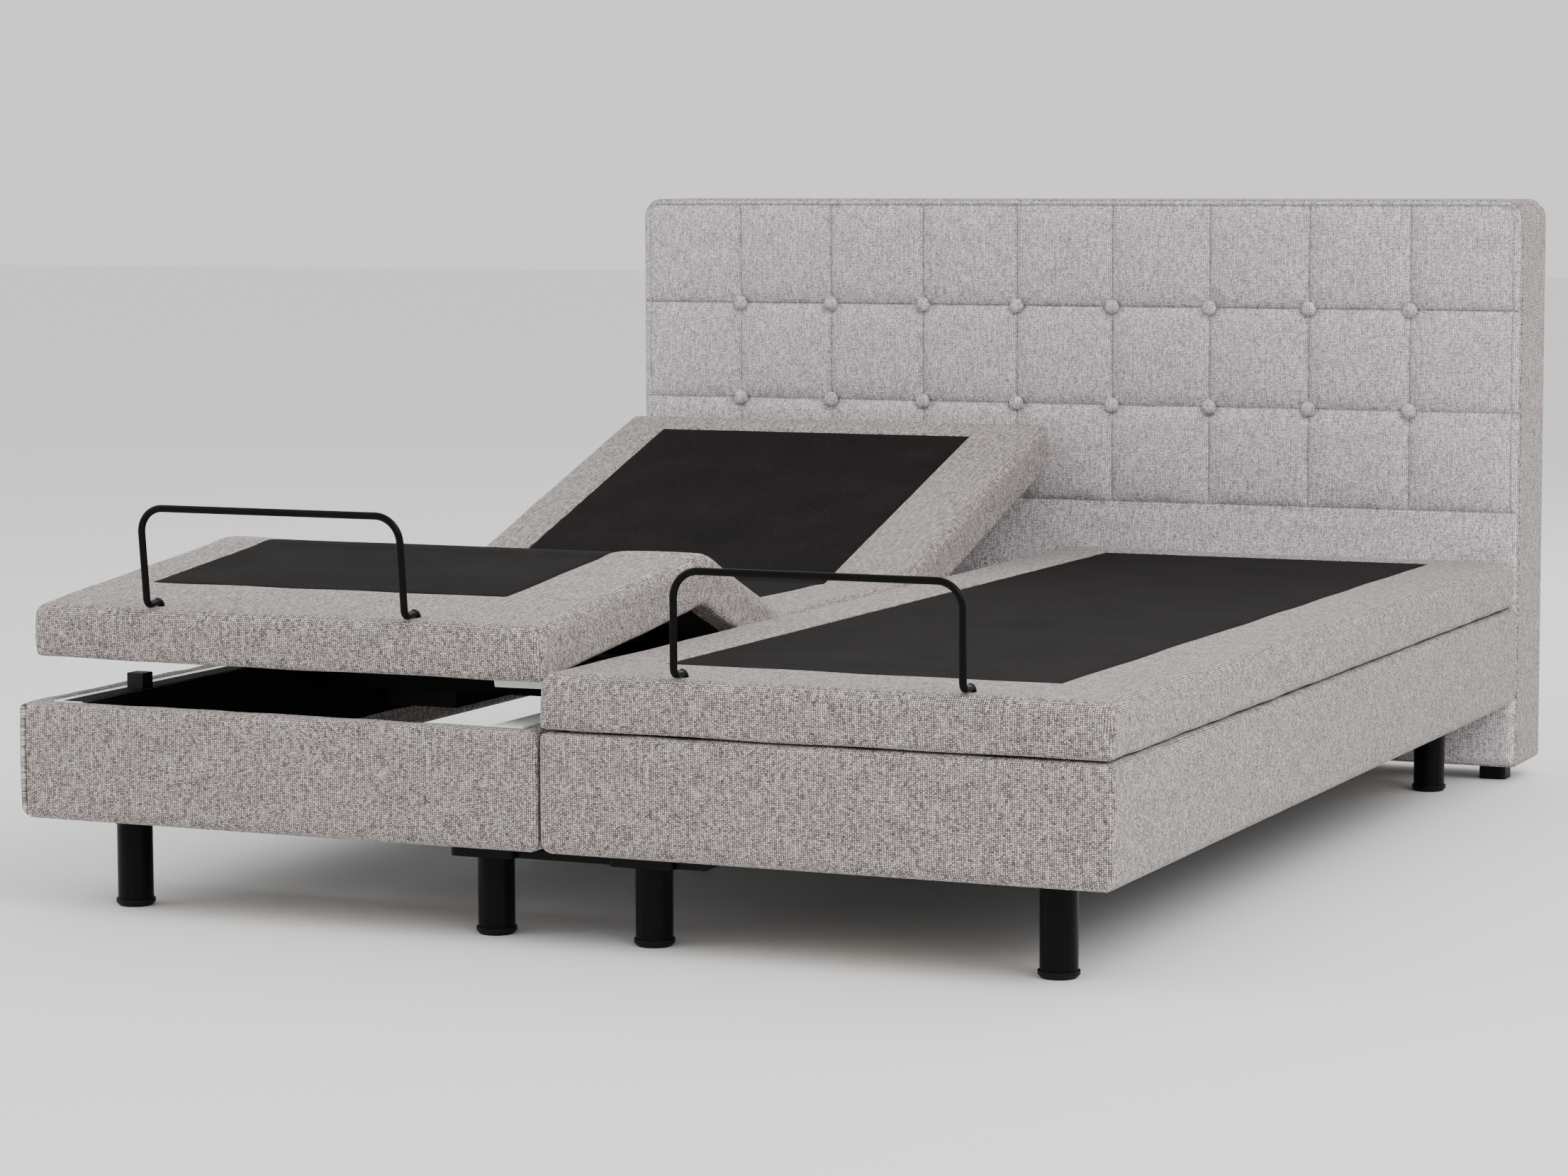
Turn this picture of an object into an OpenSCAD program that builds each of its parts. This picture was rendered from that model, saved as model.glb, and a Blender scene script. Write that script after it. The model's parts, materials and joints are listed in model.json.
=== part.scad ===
// Adjustable double bed base: two motorised halves on legs, with one tufted headboard.
// +X is to the right seen from the foot end, +Y runs to the headboard, +Z is up, the floor is Z = 0.
// Each half is drawn in its own coordinates: x = 0 is its inner long side, y = 0 its foot end.

/* [Base boxes] */
// Width of one half
half_w = 798; // [700:1:1000]
// Gap between the two halves
half_gap = 4; // [2:1:12]
// Length of the boxes
bed_len = 1988; // [1900:1:2150]
// Height of the box undersides above the floor
leg_h = 130; // [90:1:200]
// Height of the boxes
box_h = 164; // [160:1:220]
// Thickness of the upholstered boards
board_t = 30; // [18:1:36]

/* [Platform] */
// Length of the fixed seat section
seat_len = 471; // [430:1:520]
// Length of the thigh section
thigh_len = 290; // [240:1:350]
// Length of the calf section
calf_len = 507; // [420:1:560]
// Thickness of the padded sections
pad_t = 72; // [50:1:100]
// Clearance between the box tops and the platform
seam_gap = 2; // [1:0.5:5]
// Thickness of the plywood let into each section
ply_t = 12; // [9:1:18]
// Width of the padded border beside the plywood
ply_inset = 100; // [90:1:120]
// Clearance between two sections at their fold, each side
fold_gap = 1; // [0.5:0.5:4]

/* [Motion] */
// Largest raise of the back sections, degrees
back_max = 60; // [40:1:65]
// Largest raise of the thigh sections, degrees
thigh_max = 35; // [20:1:38]
// Knee bend for each degree of thigh raise
knee_ratio = 1.2667; // [1.1:0.0001:1.3]
// Stored raise of the left back section, degrees
left_back_rest = 18; // [0:1:40]
// Stored raise of the left thigh section, degrees
left_thigh_rest = 22.5; // [0:0.5:35]

/* [Steel frame] */
// Distance from a half's long sides to its side rails
rail_inset = 51; // [40:1:60]
// Width of a side rail
rail_w = 28; // [20:1:34]
// Height of a side rail
rail_h = 46; // [40:1:60]
// Thickness of the lip at the top of a side rail
lip_t = 3; // [2:1:5]
// Gap between the lip of a side rail and its board
lip_gap = 3; // [1:1:4]
// Height and depth of a cross tube
tube_s = 27; // [20:1:30]
// Height and width of a subframe bar
bar_s = 20; // [16:1:24]
// Distance from a half's long sides to its subframe bars
bar_inset = 150; // [130:1:200]
// Clearance between a lowered subframe and the cross tubes
rest_gap = 0.5; // [0.3:0.1:3]
// Diameter of the pivot pins
pin_d = 10; // [8:1:12]
// Radial clearance of a pivot pin in its hole
pin_clear = 0.05; // [0.02:0.01:0.1]
// Thickness of hinge ears, motor ears and lever plates
plate_t = 5; // [4:1:6]
// Height of the bumper blocks above the side rails
bumper_h = 22; // [10:1:30]
// Width and length of a bumper block
bumper_s = 26; // [20:1:27]

/* [Motors] */
// Distance from a hinge to the motor pin on its lever
lever_r = 85; // [75:1:90]
// Distance from a half's inner side to its back motor
back_motor_x = 190; // [180:1:230]
// Distance from a half's inner side to its leg motor
leg_motor_x = 319; // [315:1:600]
// Height of the motors' rear pins above the floor
motor_z = 205; // [190:1:225]
// Diameter of a motor rod
rod_d = 24; // [18:1:26]
// Length of a motor rod behind its eye
rod_len = 340; // [330:1:350]
// Diameter of a motor's outer tube
motor_tube_d = 40; // [34:1:44]
// Distance from a motor's rear pin to the mouth of its outer tube
motor_tube_end = 380; // [360:1:390]
// Reach of the lever slot towards the hinge from the pin
slot_in = 13; // [12:1:16]
// Reach of the lever slot away from the hinge
slot_out = 9; // [8:1:10]
// Sideways clearance of the motor pin in the lever slot
slot_clear = 3; // [2:0.5:4]

/* [Legs] */
// Diameter of a leg
leg_d = 50; // [40:1:60]
// Distance from a half's inner side to its inner legs
leg_inner = 116; // [90:1:160]
// Distance from a half's outer side to its outer legs
leg_outer = 111; // [90:1:160]
// Distance from the foot end to the foot legs
leg_foot = 108; // [90:1:200]
// Distance from the head end to the head legs
leg_head = 126; // [90:1:200]
// Width of the flange on top of a leg
flange_w = 94; // [70:1:110]
// Thickness of the flange
flange_t = 8; // [6:1:14]
// Thickness of the strips that join the inner legs of the two halves
strip_t = 12; // [8:1:16]
// Width of a joining strip between the legs
strip_w = 64; // [40:1:90]
// Length of a joining strip beyond the flange of the right leg
strip_end = 42; // [0:1:60]
// Height of a glide under a leg
glide_h = 10; // [8:1:16]

/* [Retainer bars] */
// Distance between a bar's uprights
bar_span = 400; // [300:1:440]
// Height of a bar above the platform
bar_rise = 150; // [110:1:170]
// Diameter of the bar's rod
bar_rod_d = 10; // [8:1:12]
// Bend radius at the upper corners
bar_bend = 35; // [25:1:60]
// Distance the uprights stand out in front of the foot end
bar_out = 3; // [0:1:8]
// Distance from the foot end to the bar's sockets
bar_socket = 32; // [30:1:45]

/* [Headboard] */
// Width of the headboard
headboard_w = 1604; // [1560:1:1700]
// Height of the headboard's top above the floor
headboard_top = 967; // [900:1:1100]
// Height of the headboard's underside above the floor
headboard_low = 25; // [15:1:60]
// Thickness of the whole headboard
headboard_t = 160; // [110:1:180]
// Thickness of its front cushion
cushion_t = 60; // [45:1:80]
// Gap between the boxes and the headboard, filled by the joining plates
headboard_gap = 2; // [2:0.5:6]
// Radius of the upper corners
headboard_r = 32; // [15:1:60]
// Distance between two buttons in a row
button_pitch = 174.8; // [150:0.2:190]
// Height of the upper row of buttons
button_row_top = 784; // [740:1:860]
// Distance between the two rows
button_row_gap = 168.5; // [140:0.5:180]
// Diameter of a button
button_d = 22; // [16:1:28]

/* [Hidden] */
$fn = 48;
left = -1;
right = 1;
eps = 0.01;
over = 1;
head_gap = 3;
back_len = bed_len - head_gap - seat_len - thigh_len - calf_len;
z_top = leg_h + box_h;
z_pad = z_top + seam_gap;
z_bed = z_pad + pad_t;
hinge_z = z_pad - bar_s / 2;
knee_y = calf_len;
thigh_y = knee_y + thigh_len;
back_y = thigh_y + seat_len;
tube_z = z_pad - bar_s - rest_gap;
front_y = -bar_out - bar_rod_d / 2;
rear_y = bed_len + headboard_gap + headboard_t;
origin_y = (front_y + rear_y) / 2;
hole_d = pin_d + 2 * pin_clear;
mid_x = half_w / 2;
ear_gap = 0.3;
fork_in = bar_s / 2 + ear_gap;
fork_w = 2 * (fork_in + plate_t);
fork_len = 60;
fork_h = bar_s - 1;
clear_end = 2;
washer_t = 3;
washer_d = pin_d + 6;
pad_low = z_pad - hinge_z;
pad_high = z_bed - hinge_z;
head_inset = 188;
bumper_y = [200, bed_len - head_inset];
pocket_clear = 3;
lever_off = 6;
lever_foot = [50, 110];
lever_lip = 6;
lever_end_r = 18;
lever_neck = 15;
tangent_ease = 0.2;
back_lever_a = -10;
leg_lever_a = 5;
eye_w = 11.4;
eye_r = 13;
rod_neck = 35;
neck_h = rod_d - 2;
rear_eye_w = 14;
motor_ear_off = 8;
cross_bar_y = 60;
frame_short = 100;
tube_leg_side = thigh_y - 137;
tube_seat = [thigh_y + 73, back_y - 68];
tube_back_side = back_y + 132;
tube_head = bed_len - head_inset;
gear_size = [115, 60, 60];
gear_y = 20;
can_d = 50;
can_len = 120;
can_x = 57;
tube_bore_y = 120;
collar_len = 12;
collar_d = motor_tube_d + 6;
box_size = [120, 180, 55];
box_gap = 20;
inlet_size = [28, 16, 20];
flange_r = 10;
leg_top_d = leg_d + 10;
leg_taper_h = 8;
strip_clear = 0.5;
glide_d = leg_d + 5;
glide_low_d = leg_d - 4;
leg_beam_w = 94;
leg_beam_h = 25;
socket_depth = 25;
socket_clear = 0.2;
hook_r = 10;
hook_low = 9;
hook_rise = hook_low + hook_r;
feet_size = 45;
feet_r = 8;
feet_x = 752;
feet_y = 57;
button_h = 9;
button_deep = 12;
dimple_d = button_d + 8;
dome_d = sqrt(2) * button_d;
bolt_d = 8;
bolt_head_d = 16;
bolt_head_t = 5;
joint_plate = [70, 90];
joint_x = [140, 640];
fabric = [0.74, 0.72, 0.70];
ply = [0.72, 0.58, 0.40];
black = [0.10, 0.10, 0.10];
steel = [0.55, 0.56, 0.58];
white = [0.88, 0.88, 0.88];

// Stored raise of each half's moving sections
function back_rest(side) = side == left ? left_back_rest : 0;
function thigh_rest(side) = side == left ? left_thigh_rest : 0;

// Length at height h above a hinge that a fold of the given largest angle needs to stay open
function fold(h, angle) = h * tan(angle / 2) + fold_gap;

// Motor pin on a lever at a given raise, as [y, z]
function back_pin(raise) = [
    back_y + lever_r * sin(raise + back_lever_a),
    hinge_z - lever_r * cos(raise + back_lever_a)
];
function leg_pin(raise) = [
    thigh_y + lever_r * sin(leg_lever_a - raise),
    hinge_z - lever_r * cos(leg_lever_a - raise)
];

// ---- Placing ----

module bed() translate([0, -origin_y, 0]) children();

module half(side)
    bed() mirror([side == left ? 1 : 0, 0, 0]) translate([half_gap / 2, 0, 0]) children();

// Children are drawn from the hinge, x across the half, and turned to the stored pose
module on_back(side)
    half(side) translate([0, back_y, hinge_z]) rotate([back_rest(side), 0, 0]) children();

module on_thigh(side)
    half(side) translate([0, thigh_y, hinge_z]) rotate([-thigh_rest(side), 0, 0]) children();

module on_calf(side)
    on_thigh(side) translate([0, -thigh_len, 0])
        rotate([knee_ratio * thigh_rest(side), 0, 0]) children();

module both_bars() for (x = [bar_inset, half_w - bar_inset]) translate([x, 0, 0]) children();

// ---- Shared shapes ----

// A rod along x, centred
module cross(d, w) rotate([0, 90, 0]) cylinder(d = d, h = w, center = true);

// A plate across x from an outline in [y, z]
module side_plate(x, w) translate([x, 0, 0]) rotate([90, 0, 90]) linear_extrude(w) children();

// A fork on the end of a fixed bar, reaching from the bar at -y to the hinge
module fork() {
    difference() {
        union() {
            translate([-fork_w / 2, -fork_len, -fork_h / 2]) cube([fork_w, fork_len, fork_h]);
            cross(fork_h, fork_w);
        }
        translate([-fork_in, -bar_s / 2 - clear_end, -bar_s])
            cube([2 * fork_in, 2 * bar_s, 2 * bar_s]);
        cross(hole_d, 2 * fork_w);
    }
}

// A bar that turns in a fork, reaching from the hinge to y = len
module tongue(len) {
    difference() {
        union() {
            translate([-bar_s / 2, 0, -bar_s / 2]) cube([bar_s, len, bar_s]);
            cross(bar_s, bar_s);
        }
        cross(hole_d, 2 * bar_s);
    }
}

// A pivot pin with a washer at each end
module pivot_pin(w) {
    cross(pin_d, w + 2 * ear_gap + 2 * washer_t);
    for (s = [-1, 1]) translate([s * (w / 2 + ear_gap + washer_t / 2), 0, 0]) cross(washer_d, washer_t);
}

// Two lever plates: the cross bar end is at +y, the slotted end at the motor pin [y, z]
module lever(pin) {
    dir = pin / norm(pin);
    inner = pin - dir * slot_in;
    outer = pin + dir * slot_out;
    slot_d = pin_d + 2 * slot_clear;
    for (x = [-lever_off - plate_t, lever_off]) difference() {
        side_plate(x, plate_t) {
            polygon([
                [lever_foot[0], bar_s / 2],
                [lever_foot[1], bar_s / 2],
                [lever_foot[1], -lever_lip],
                [pin[0] + lever_neck, pin[1]],
                [pin[0] - lever_neck, pin[1]]
            ]);
            translate(pin) circle(r = lever_end_r);
            translate(outer) circle(r = lever_neck);
        }
        side_plate(x - eps, plate_t + 2 * eps) {
            translate(inner) circle(d = slot_d);
            translate(outer) circle(d = slot_d);
            slot_side(inner, outer, slot_d - tangent_ease);
        }
    }
}

// The straight middle of a slot between two centres
module slot_side(a, b, w) {
    u = (b - a) / norm(b - a);
    n = [-u[1], u[0]] * w / 2;
    polygon([a + n, b + n, b - n, a - n]);
}

// Subframe of one moving section, its bars reaching +y from the hinge
module subframe(len, pin, lever_x) {
    both_bars() tongue(len);
    for (y = [cross_bar_y, len - bar_s])
        translate([bar_inset, y, -bar_s / 2]) cube([half_w - 2 * bar_inset, bar_s, bar_s]);
    translate([lever_x, 0, 0]) lever(pin);
}

// Padded section from its outline in [y, z] above the hinge, with a recess for the plywood
module pad(outline, ply_from, ply_to) {
    difference() {
        side_plate(0, half_w) polygon(outline);
        panel(ply_from, ply_to, eps);
    }
}

// Plywood between two distances from the hinge
module panel(from, to, extra = 0)
    translate([ply_inset, from, pad_low - extra])
        cube([half_w - 2 * ply_inset, to - from, ply_t + extra]);

// Pockets that let the bumper blocks into a lowered section
module bumper_pockets(y) {
    side = bumper_s + 2 * pocket_clear;
    for (x = bumper_xs()) translate([x - side / 2, y - side / 2, pad_low - over])
        cube([side, side, bumper_h - seam_gap + 2 * over]);
}

function bumper_xs() = [rail_inset + rail_w / 2, half_w - rail_inset - rail_w / 2];

// ---- Boxes, legs and steel ----

module side_boards(side) color(fabric) half(side)
    for (x = [0, half_w - board_t]) translate([x, board_t, leg_h])
        cube([board_t, bed_len - 2 * board_t, box_h]);

module end_boards(side) color(fabric) half(side) difference() {
    for (y = [0, bed_len - board_t]) translate([0, y, leg_h]) cube([half_w, board_t, box_h]);
    headboard_bolts_at() cylinder(d = bolt_d + 2 * pin_clear, h = 2 * board_t);
}

module leg_beams(side) color(ply) half(side)
    for (y = [leg_foot, bed_len - leg_head])
        translate([board_t, y - leg_beam_w / 2, leg_h])
            cube([half_w - 2 * board_t, leg_beam_w, leg_beam_h]);

module at_legs()
    for (x = [leg_inner, half_w - leg_outer], y = [leg_foot, bed_len - leg_head])
        translate([x, y, 0]) children();

// Square plate with round corners, centred
module rounded_plate(w, t, r) {
    for (x = [-1, 1], y = [-1, 1]) translate([x * (w / 2 - r), y * (w / 2 - r), 0]) cylinder(r = r, h = t);
    translate([-w / 2, -w / 2 + r, 0]) cube([w, w - 2 * r, t]);
    translate([-w / 2 + r, -w / 2, 0]) cube([w - 2 * r, w, t]);
}

module legs(side) color(black) half(side) at_legs() {
    translate([0, 0, leg_h - flange_t]) rounded_plate(flange_w, flange_t, flange_r);
    translate([0, 0, leg_h - flange_t - leg_taper_h]) cylinder(d1 = leg_d, d2 = leg_top_d, h = leg_taper_h);
    translate([0, 0, glide_h]) cylinder(d = leg_d, h = leg_h - flange_t - glide_h);
}

module leg_glides(side) color(black) half(side) at_legs() {
    cylinder(d1 = glide_low_d, d2 = glide_d, h = glide_h / 2);
    translate([0, 0, glide_h / 2]) cylinder(d = glide_d, h = glide_h / 2);
}

// Each rail has a lip at its top that reaches towards its board
module side_rails(side) color(white) half(side) {
    run = bed_len - 2 * board_t;
    lip_start = board_t + lip_gap;
    lip_w = rail_inset - lip_start + over;
    for (x = [rail_inset, half_w - rail_inset - rail_w]) translate([x, board_t, z_top - rail_h])
        cube([rail_w, run, rail_h]);
    for (x = [lip_start, half_w - lip_start - lip_w]) translate([x, board_t, z_top - lip_t])
        cube([lip_w, run, lip_t]);
}

// Ears under a cross tube that hold a motor's rear pin
module motor_ears(x, y) {
    for (s = [-motor_ear_off - plate_t, motor_ear_off]) difference() {
        side_plate(x + s, plate_t) {
            translate([y, motor_z]) circle(r = eye_r);
            translate([y - eye_r, motor_z]) square([2 * eye_r, tube_z - tube_s - motor_z + over]);
        }
        translate([x, y, motor_z]) cross(hole_d, 4 * eye_r);
    }
}

module seat_frame(side) color(black) half(side) {
    for (y = concat([tube_leg_side, tube_back_side, tube_head], tube_seat))
        translate([rail_inset + rail_w, y - tube_s / 2, tube_z - tube_s])
            cube([half_w - 2 * (rail_inset + rail_w), tube_s, tube_s]);
    motor_ears(back_motor_x, tube_leg_side);
    motor_ears(leg_motor_x, tube_back_side);
    both_bars() {
        translate([0, back_y, hinge_z]) fork();
        translate([0, thigh_y, hinge_z]) mirror([0, 1, 0]) fork();
        translate([-bar_s / 2, thigh_y + fork_len, tube_z])
            cube([bar_s, seat_len - 2 * fork_len, z_pad - tube_z]);
    }
}

module bumpers(side) color(black) half(side)
    for (x = bumper_xs(), y = bumper_y) translate([x - bumper_s / 2, y - bumper_s / 2, z_top])
        cube([bumper_s, bumper_s, bumper_h]);

// The mains inlet is an open socket in the end that faces the headboard
module control_box(side) color(black) half(side)
    translate([half_w - rail_inset - rail_w - box_gap - box_size[0], tube_seat[0] - tube_s / 2,
               tube_z - tube_s - box_size[2]])
        difference() {
            cube(box_size);
            translate([box_size[0] / 2 - inlet_size[0] / 2, box_size[1] - inlet_size[1],
                       box_size[2] / 2 - inlet_size[2] / 2])
                cube([inlet_size[0], inlet_size[1] + over, inlet_size[2]]);
        }

module pivot_pins(side) color(steel) half(side) {
    both_bars() {
        translate([0, back_y, hinge_z]) pivot_pin(fork_w);
        translate([0, thigh_y, hinge_z]) pivot_pin(fork_w);
    }
    translate([back_motor_x, tube_leg_side, motor_z]) pivot_pin(2 * (motor_ear_off + plate_t));
    translate([leg_motor_x, tube_back_side, motor_z]) pivot_pin(2 * (motor_ear_off + plate_t));
}

// ---- Platform sections ----

seat_ply = [30, seat_len - 40];

module seat_panel(side) color(ply)
    half(side) translate([0, thigh_y, hinge_z]) panel(seat_ply[0], seat_ply[1]);

module seat_pad(side) color(fabric) half(side) translate([0, thigh_y, hinge_z])
    pad([
        [fold(pad_low, thigh_max), pad_low],
        [seat_len - fold(pad_low, back_max), pad_low],
        [seat_len - fold(pad_high, back_max), pad_high],
        [fold(pad_high, thigh_max), pad_high]
    ], seat_ply[0], seat_ply[1]);

back_ply = [30, back_len - 30];

module back_frame(side) color(black) on_back(side)
    subframe(back_len - frame_short, back_pin(0) - [back_y, hinge_z], back_motor_x);

module back_panel(side) color(ply) on_back(side) panel(back_ply[0], back_ply[1]);

module back_pad(side) color(fabric) on_back(side) difference() {
    pad([
        [fold(pad_low, back_max), pad_low],
        [back_len, pad_low],
        [back_len, pad_high],
        [fold(pad_high, back_max), pad_high]
    ], back_ply[0], back_ply[1]);
    bumper_pockets(bumper_y[1] - back_y);
}

thigh_ply = [-thigh_len + 20, -25];

module thigh_frame(side) color(black) on_thigh(side) {
    mirror([0, 1, 0]) {
        pin = leg_pin(0) - [thigh_y, hinge_z];
        subframe(thigh_len - fork_len, [-pin[0], pin[1]], leg_motor_x);
    }
    both_bars() translate([0, -thigh_len, 0]) mirror([0, 1, 0]) fork();
}

module thigh_panel(side) color(ply) on_thigh(side) panel(thigh_ply[0], thigh_ply[1]);

module thigh_pad(side) color(fabric) on_thigh(side)
    pad([
        [-thigh_len + fold_gap, pad_low],
        [-fold(pad_low, thigh_max), pad_low],
        [-fold(pad_high, thigh_max), pad_high],
        [-thigh_len + fold_gap, pad_high]
    ], thigh_ply[0], thigh_ply[1]);

module knee_pins(side) color(steel) on_thigh(side)
    both_bars() translate([0, -thigh_len, 0]) pivot_pin(fork_w);

calf_ply = [-calf_len + 50, -20];

module calf_frame(side) color(black) on_calf(side) mirror([0, 1, 0]) {
    both_bars() tongue(calf_len - frame_short);
    for (y = [cross_bar_y, calf_len - frame_short - bar_s])
        translate([bar_inset, y, -bar_s / 2]) cube([half_w - 2 * bar_inset, bar_s, bar_s]);
}

module calf_panel(side) color(ply) on_calf(side) panel(calf_ply[0], calf_ply[1]);

module calf_pad(side) color(fabric) on_calf(side) difference() {
    pad([
        [-calf_len, pad_low],
        [-fold_gap, pad_low],
        [-fold_gap, pad_high],
        [-calf_len, pad_high]
    ], calf_ply[0], calf_ply[1]);
    bumper_pockets(bumper_y[0] - knee_y);
    for (s = [-1, 1]) translate([mid_x + s * bar_span / 2, -calf_len + bar_socket, pad_high - socket_depth])
        cylinder(d = bar_rod_d + 2 * socket_clear, h = socket_depth + over);
}

// Quarter bend of rod in the plane of y and z, centred on its bend centre
module quarter(r, start) rotate([0, 90, 0]) rotate([0, 0, start])
    rotate_extrude(angle = 90) translate([r, 0]) circle(d = bar_rod_d);

module retainer_bar(side) color(black) on_calf(side)
    translate([mid_x, -calf_len, pad_high]) {
        run = bar_socket + bar_out - 2 * hook_r;
                top = bar_rise - bar_rod_d / 2;
        for (s = [-1, 1]) translate([s * bar_span / 2, 0, 0]) {
            translate([0, bar_socket, -socket_depth]) cylinder(d = bar_rod_d, h = socket_depth);
            translate([0, bar_socket - hook_r, 0]) quarter(hook_r, 90);
            translate([0, -bar_out + hook_r, hook_low]) rotate([-90, 0, 0])
                cylinder(d = bar_rod_d, h = run);
            translate([0, -bar_out + hook_r, hook_rise]) quarter(hook_r, -90);
            translate([0, -bar_out, hook_rise]) cylinder(d = bar_rod_d, h = top - bar_bend - hook_rise);
        }
        for (s = [0, 1]) mirror([s, 0, 0])
            translate([bar_span / 2 - bar_bend, -bar_out, top - bar_bend]) rotate([90, 0, 0])
                rotate_extrude(angle = 90) translate([bar_bend, 0]) circle(d = bar_rod_d);
        translate([0, -bar_out, top]) cross(bar_rod_d, bar_span - 2 * bar_bend);
    }

// ---- Motors ----

// Children are drawn from the rear pin, +y towards the lever pin
module motor_line(rear, front) {
    d = front - rear;
    translate([0, rear[0], rear[1]]) rotate([atan2(d[1], d[0]), 0, 0]) children();
}

module motor_housing() {
    difference() {
        union() {
            cross(2 * eye_r, rear_eye_w);
            translate([-rear_eye_w / 2, 0, -eye_r]) cube([rear_eye_w, gear_y + over, 2 * eye_r]);
        }
        cross(hole_d, 2 * rear_eye_w);
    }
    translate([-gear_size[2] / 2, gear_y, -gear_size[2] / 2]) cube(gear_size);
    translate([can_x, gear_y + gear_size[1], 0]) rotate([-90, 0, 0]) cylinder(d = can_d, h = can_len);
    difference() {
        rotate([-90, 0, 0]) {
            translate([0, 0, gear_y + gear_size[1]])
                cylinder(d = motor_tube_d, h = motor_tube_end - gear_y - gear_size[1]);
            translate([0, 0, motor_tube_end - collar_len]) cylinder(d = collar_d, h = collar_len);
        }
        translate([0, tube_bore_y, 0]) rotate([-90, 0, 0])
            cylinder(d = rod_d + 2 * pin_clear, h = motor_tube_end);
    }
}

// A rod whose eye is at distance reach from the rear pin, with its cross pin
module motor_rod(reach) translate([0, reach, 0]) {
    difference() {
        union() {
            translate([0, -rod_len, 0]) rotate([-90, 0, 0])
                cylinder(d = rod_d, h = rod_len - rod_neck + over);
            translate([-eye_w / 2, -rod_neck, -neck_h / 2]) cube([eye_w, rod_neck, neck_h]);
            cross(2 * eye_r, eye_w);
        }
        cross(hole_d, 2 * eye_w);
    }
    pivot_pin(2 * (lever_off + plate_t));
}

module back_line(side) half(side) translate([back_motor_x, 0, 0])
    motor_line([tube_leg_side, motor_z], back_pin(back_rest(side))) children();

module leg_line(side) half(side) translate([leg_motor_x, 0, 0])
    translate([0, tube_back_side, motor_z]) mirror([1, 0, 0]) mirror([0, 1, 0])
        motor_line([0, 0], leg_reach(side)) children();

function leg_reach(side) = let (p = leg_pin(thigh_rest(side))) [tube_back_side - p[0], p[1] - motor_z];

module back_motor(side) color(black) back_line(side) motor_housing();

module back_rod(side) color(steel) back_line(side)
    motor_rod(norm(back_pin(back_rest(side)) - [tube_leg_side, motor_z]));

module leg_motor(side) color(black) leg_line(side) motor_housing();

module leg_rod(side) color(steel) leg_line(side) motor_rod(norm(leg_reach(side)));

// ---- Joining parts and headboard ----

module joining_strips() color(black) bed()
    for (y = [leg_foot, bed_len - leg_head]) translate([0, y, leg_h - flange_t - strip_t]) {
        leg_x = half_gap / 2 + leg_inner;
        difference() {
            union() {
                for (x = [-leg_x, leg_x]) translate([x, 0, 0]) rounded_plate(flange_w, strip_t, flange_r);
                translate([-leg_x, -strip_w / 2, 0])
                    cube([2 * leg_x + flange_w / 2 + strip_end, strip_w, strip_t]);
            }
            for (x = [-leg_x, leg_x]) translate([x, 0, -over])
                cylinder(d = leg_top_d + 2 * strip_clear, h = strip_t + 2 * over);
        }
    }

// Bolt places on a half's head board, children drawn along +y
module headboard_bolts_at()
    for (x = joint_x, z = [-1, 1])
        translate([x, bed_len - board_t, leg_h + box_h / 2 + z * joint_plate[1] / 4])
            rotate([-90, 0, 0]) children();

module headboard_plates() color(steel) for (side = [left, right]) half(side) {
    difference() {
        for (x = joint_x)
            translate([x - joint_plate[0] / 2, bed_len, leg_h + box_h / 2 - joint_plate[1] / 2])
            cube([joint_plate[0], headboard_gap, joint_plate[1]]);
        headboard_bolts_at() cylinder(d = bolt_d + 2 * pin_clear, h = 2 * board_t);
    }
    headboard_bolts_at() {
        translate([0, 0, -bolt_head_t]) cylinder(d = bolt_head_d, h = bolt_head_t);
        cylinder(d = bolt_d, h = board_t + headboard_gap);
    }
}

module headboard_feet() color(black) bed()
    for (x = [-feet_x, feet_x]) translate([x, bed_len + headboard_gap + feet_y, 0])
        rounded_plate(feet_size, headboard_low, feet_r);

// Headboard outline seen from the front, extruded along y
module headboard_slab(from, t) {
    h = headboard_top - headboard_low;
    translate([0, bed_len + headboard_gap + from + t, headboard_low]) rotate([90, 0, 0]) linear_extrude(t) {
        translate([-headboard_w / 2, 0]) square([headboard_w, h - headboard_r]);
        translate([-headboard_w / 2 + headboard_r, 0]) square([headboard_w - 2 * headboard_r, h]);
        for (s = [-1, 1]) translate([s * (headboard_w / 2 - headboard_r), h - headboard_r])
            circle(r = headboard_r);
    }
}

// Children are drawn at each button, along +y into the cushion
module at_buttons()
    for (i = [-3.5:1:3.5], row = [0, 1])
        translate([i * button_pitch, bed_len + headboard_gap, button_row_top - row * button_row_gap])
            rotate([-90, 0, 0]) children();

module headboard_core() color(fabric) bed() headboard_slab(cushion_t, headboard_t - cushion_t);

module headboard_cushion() color(fabric) bed() difference() {
    headboard_slab(0, cushion_t);
    at_buttons() translate([0, 0, -over]) cylinder(d = dimple_d, h = button_deep + over);
}

module headboard_buttons() color(fabric) bed() at_buttons() {
    translate([0, 0, button_deep - button_h / 2]) cylinder(d = button_d, h = button_h / 2);
    intersection() {
        translate([0, 0, button_deep - button_h / 2 + button_d / 2]) sphere(d = dome_d);
        translate([0, 0, button_deep - button_h]) cylinder(d = button_d, h = button_h / 2);
    }
}

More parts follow.
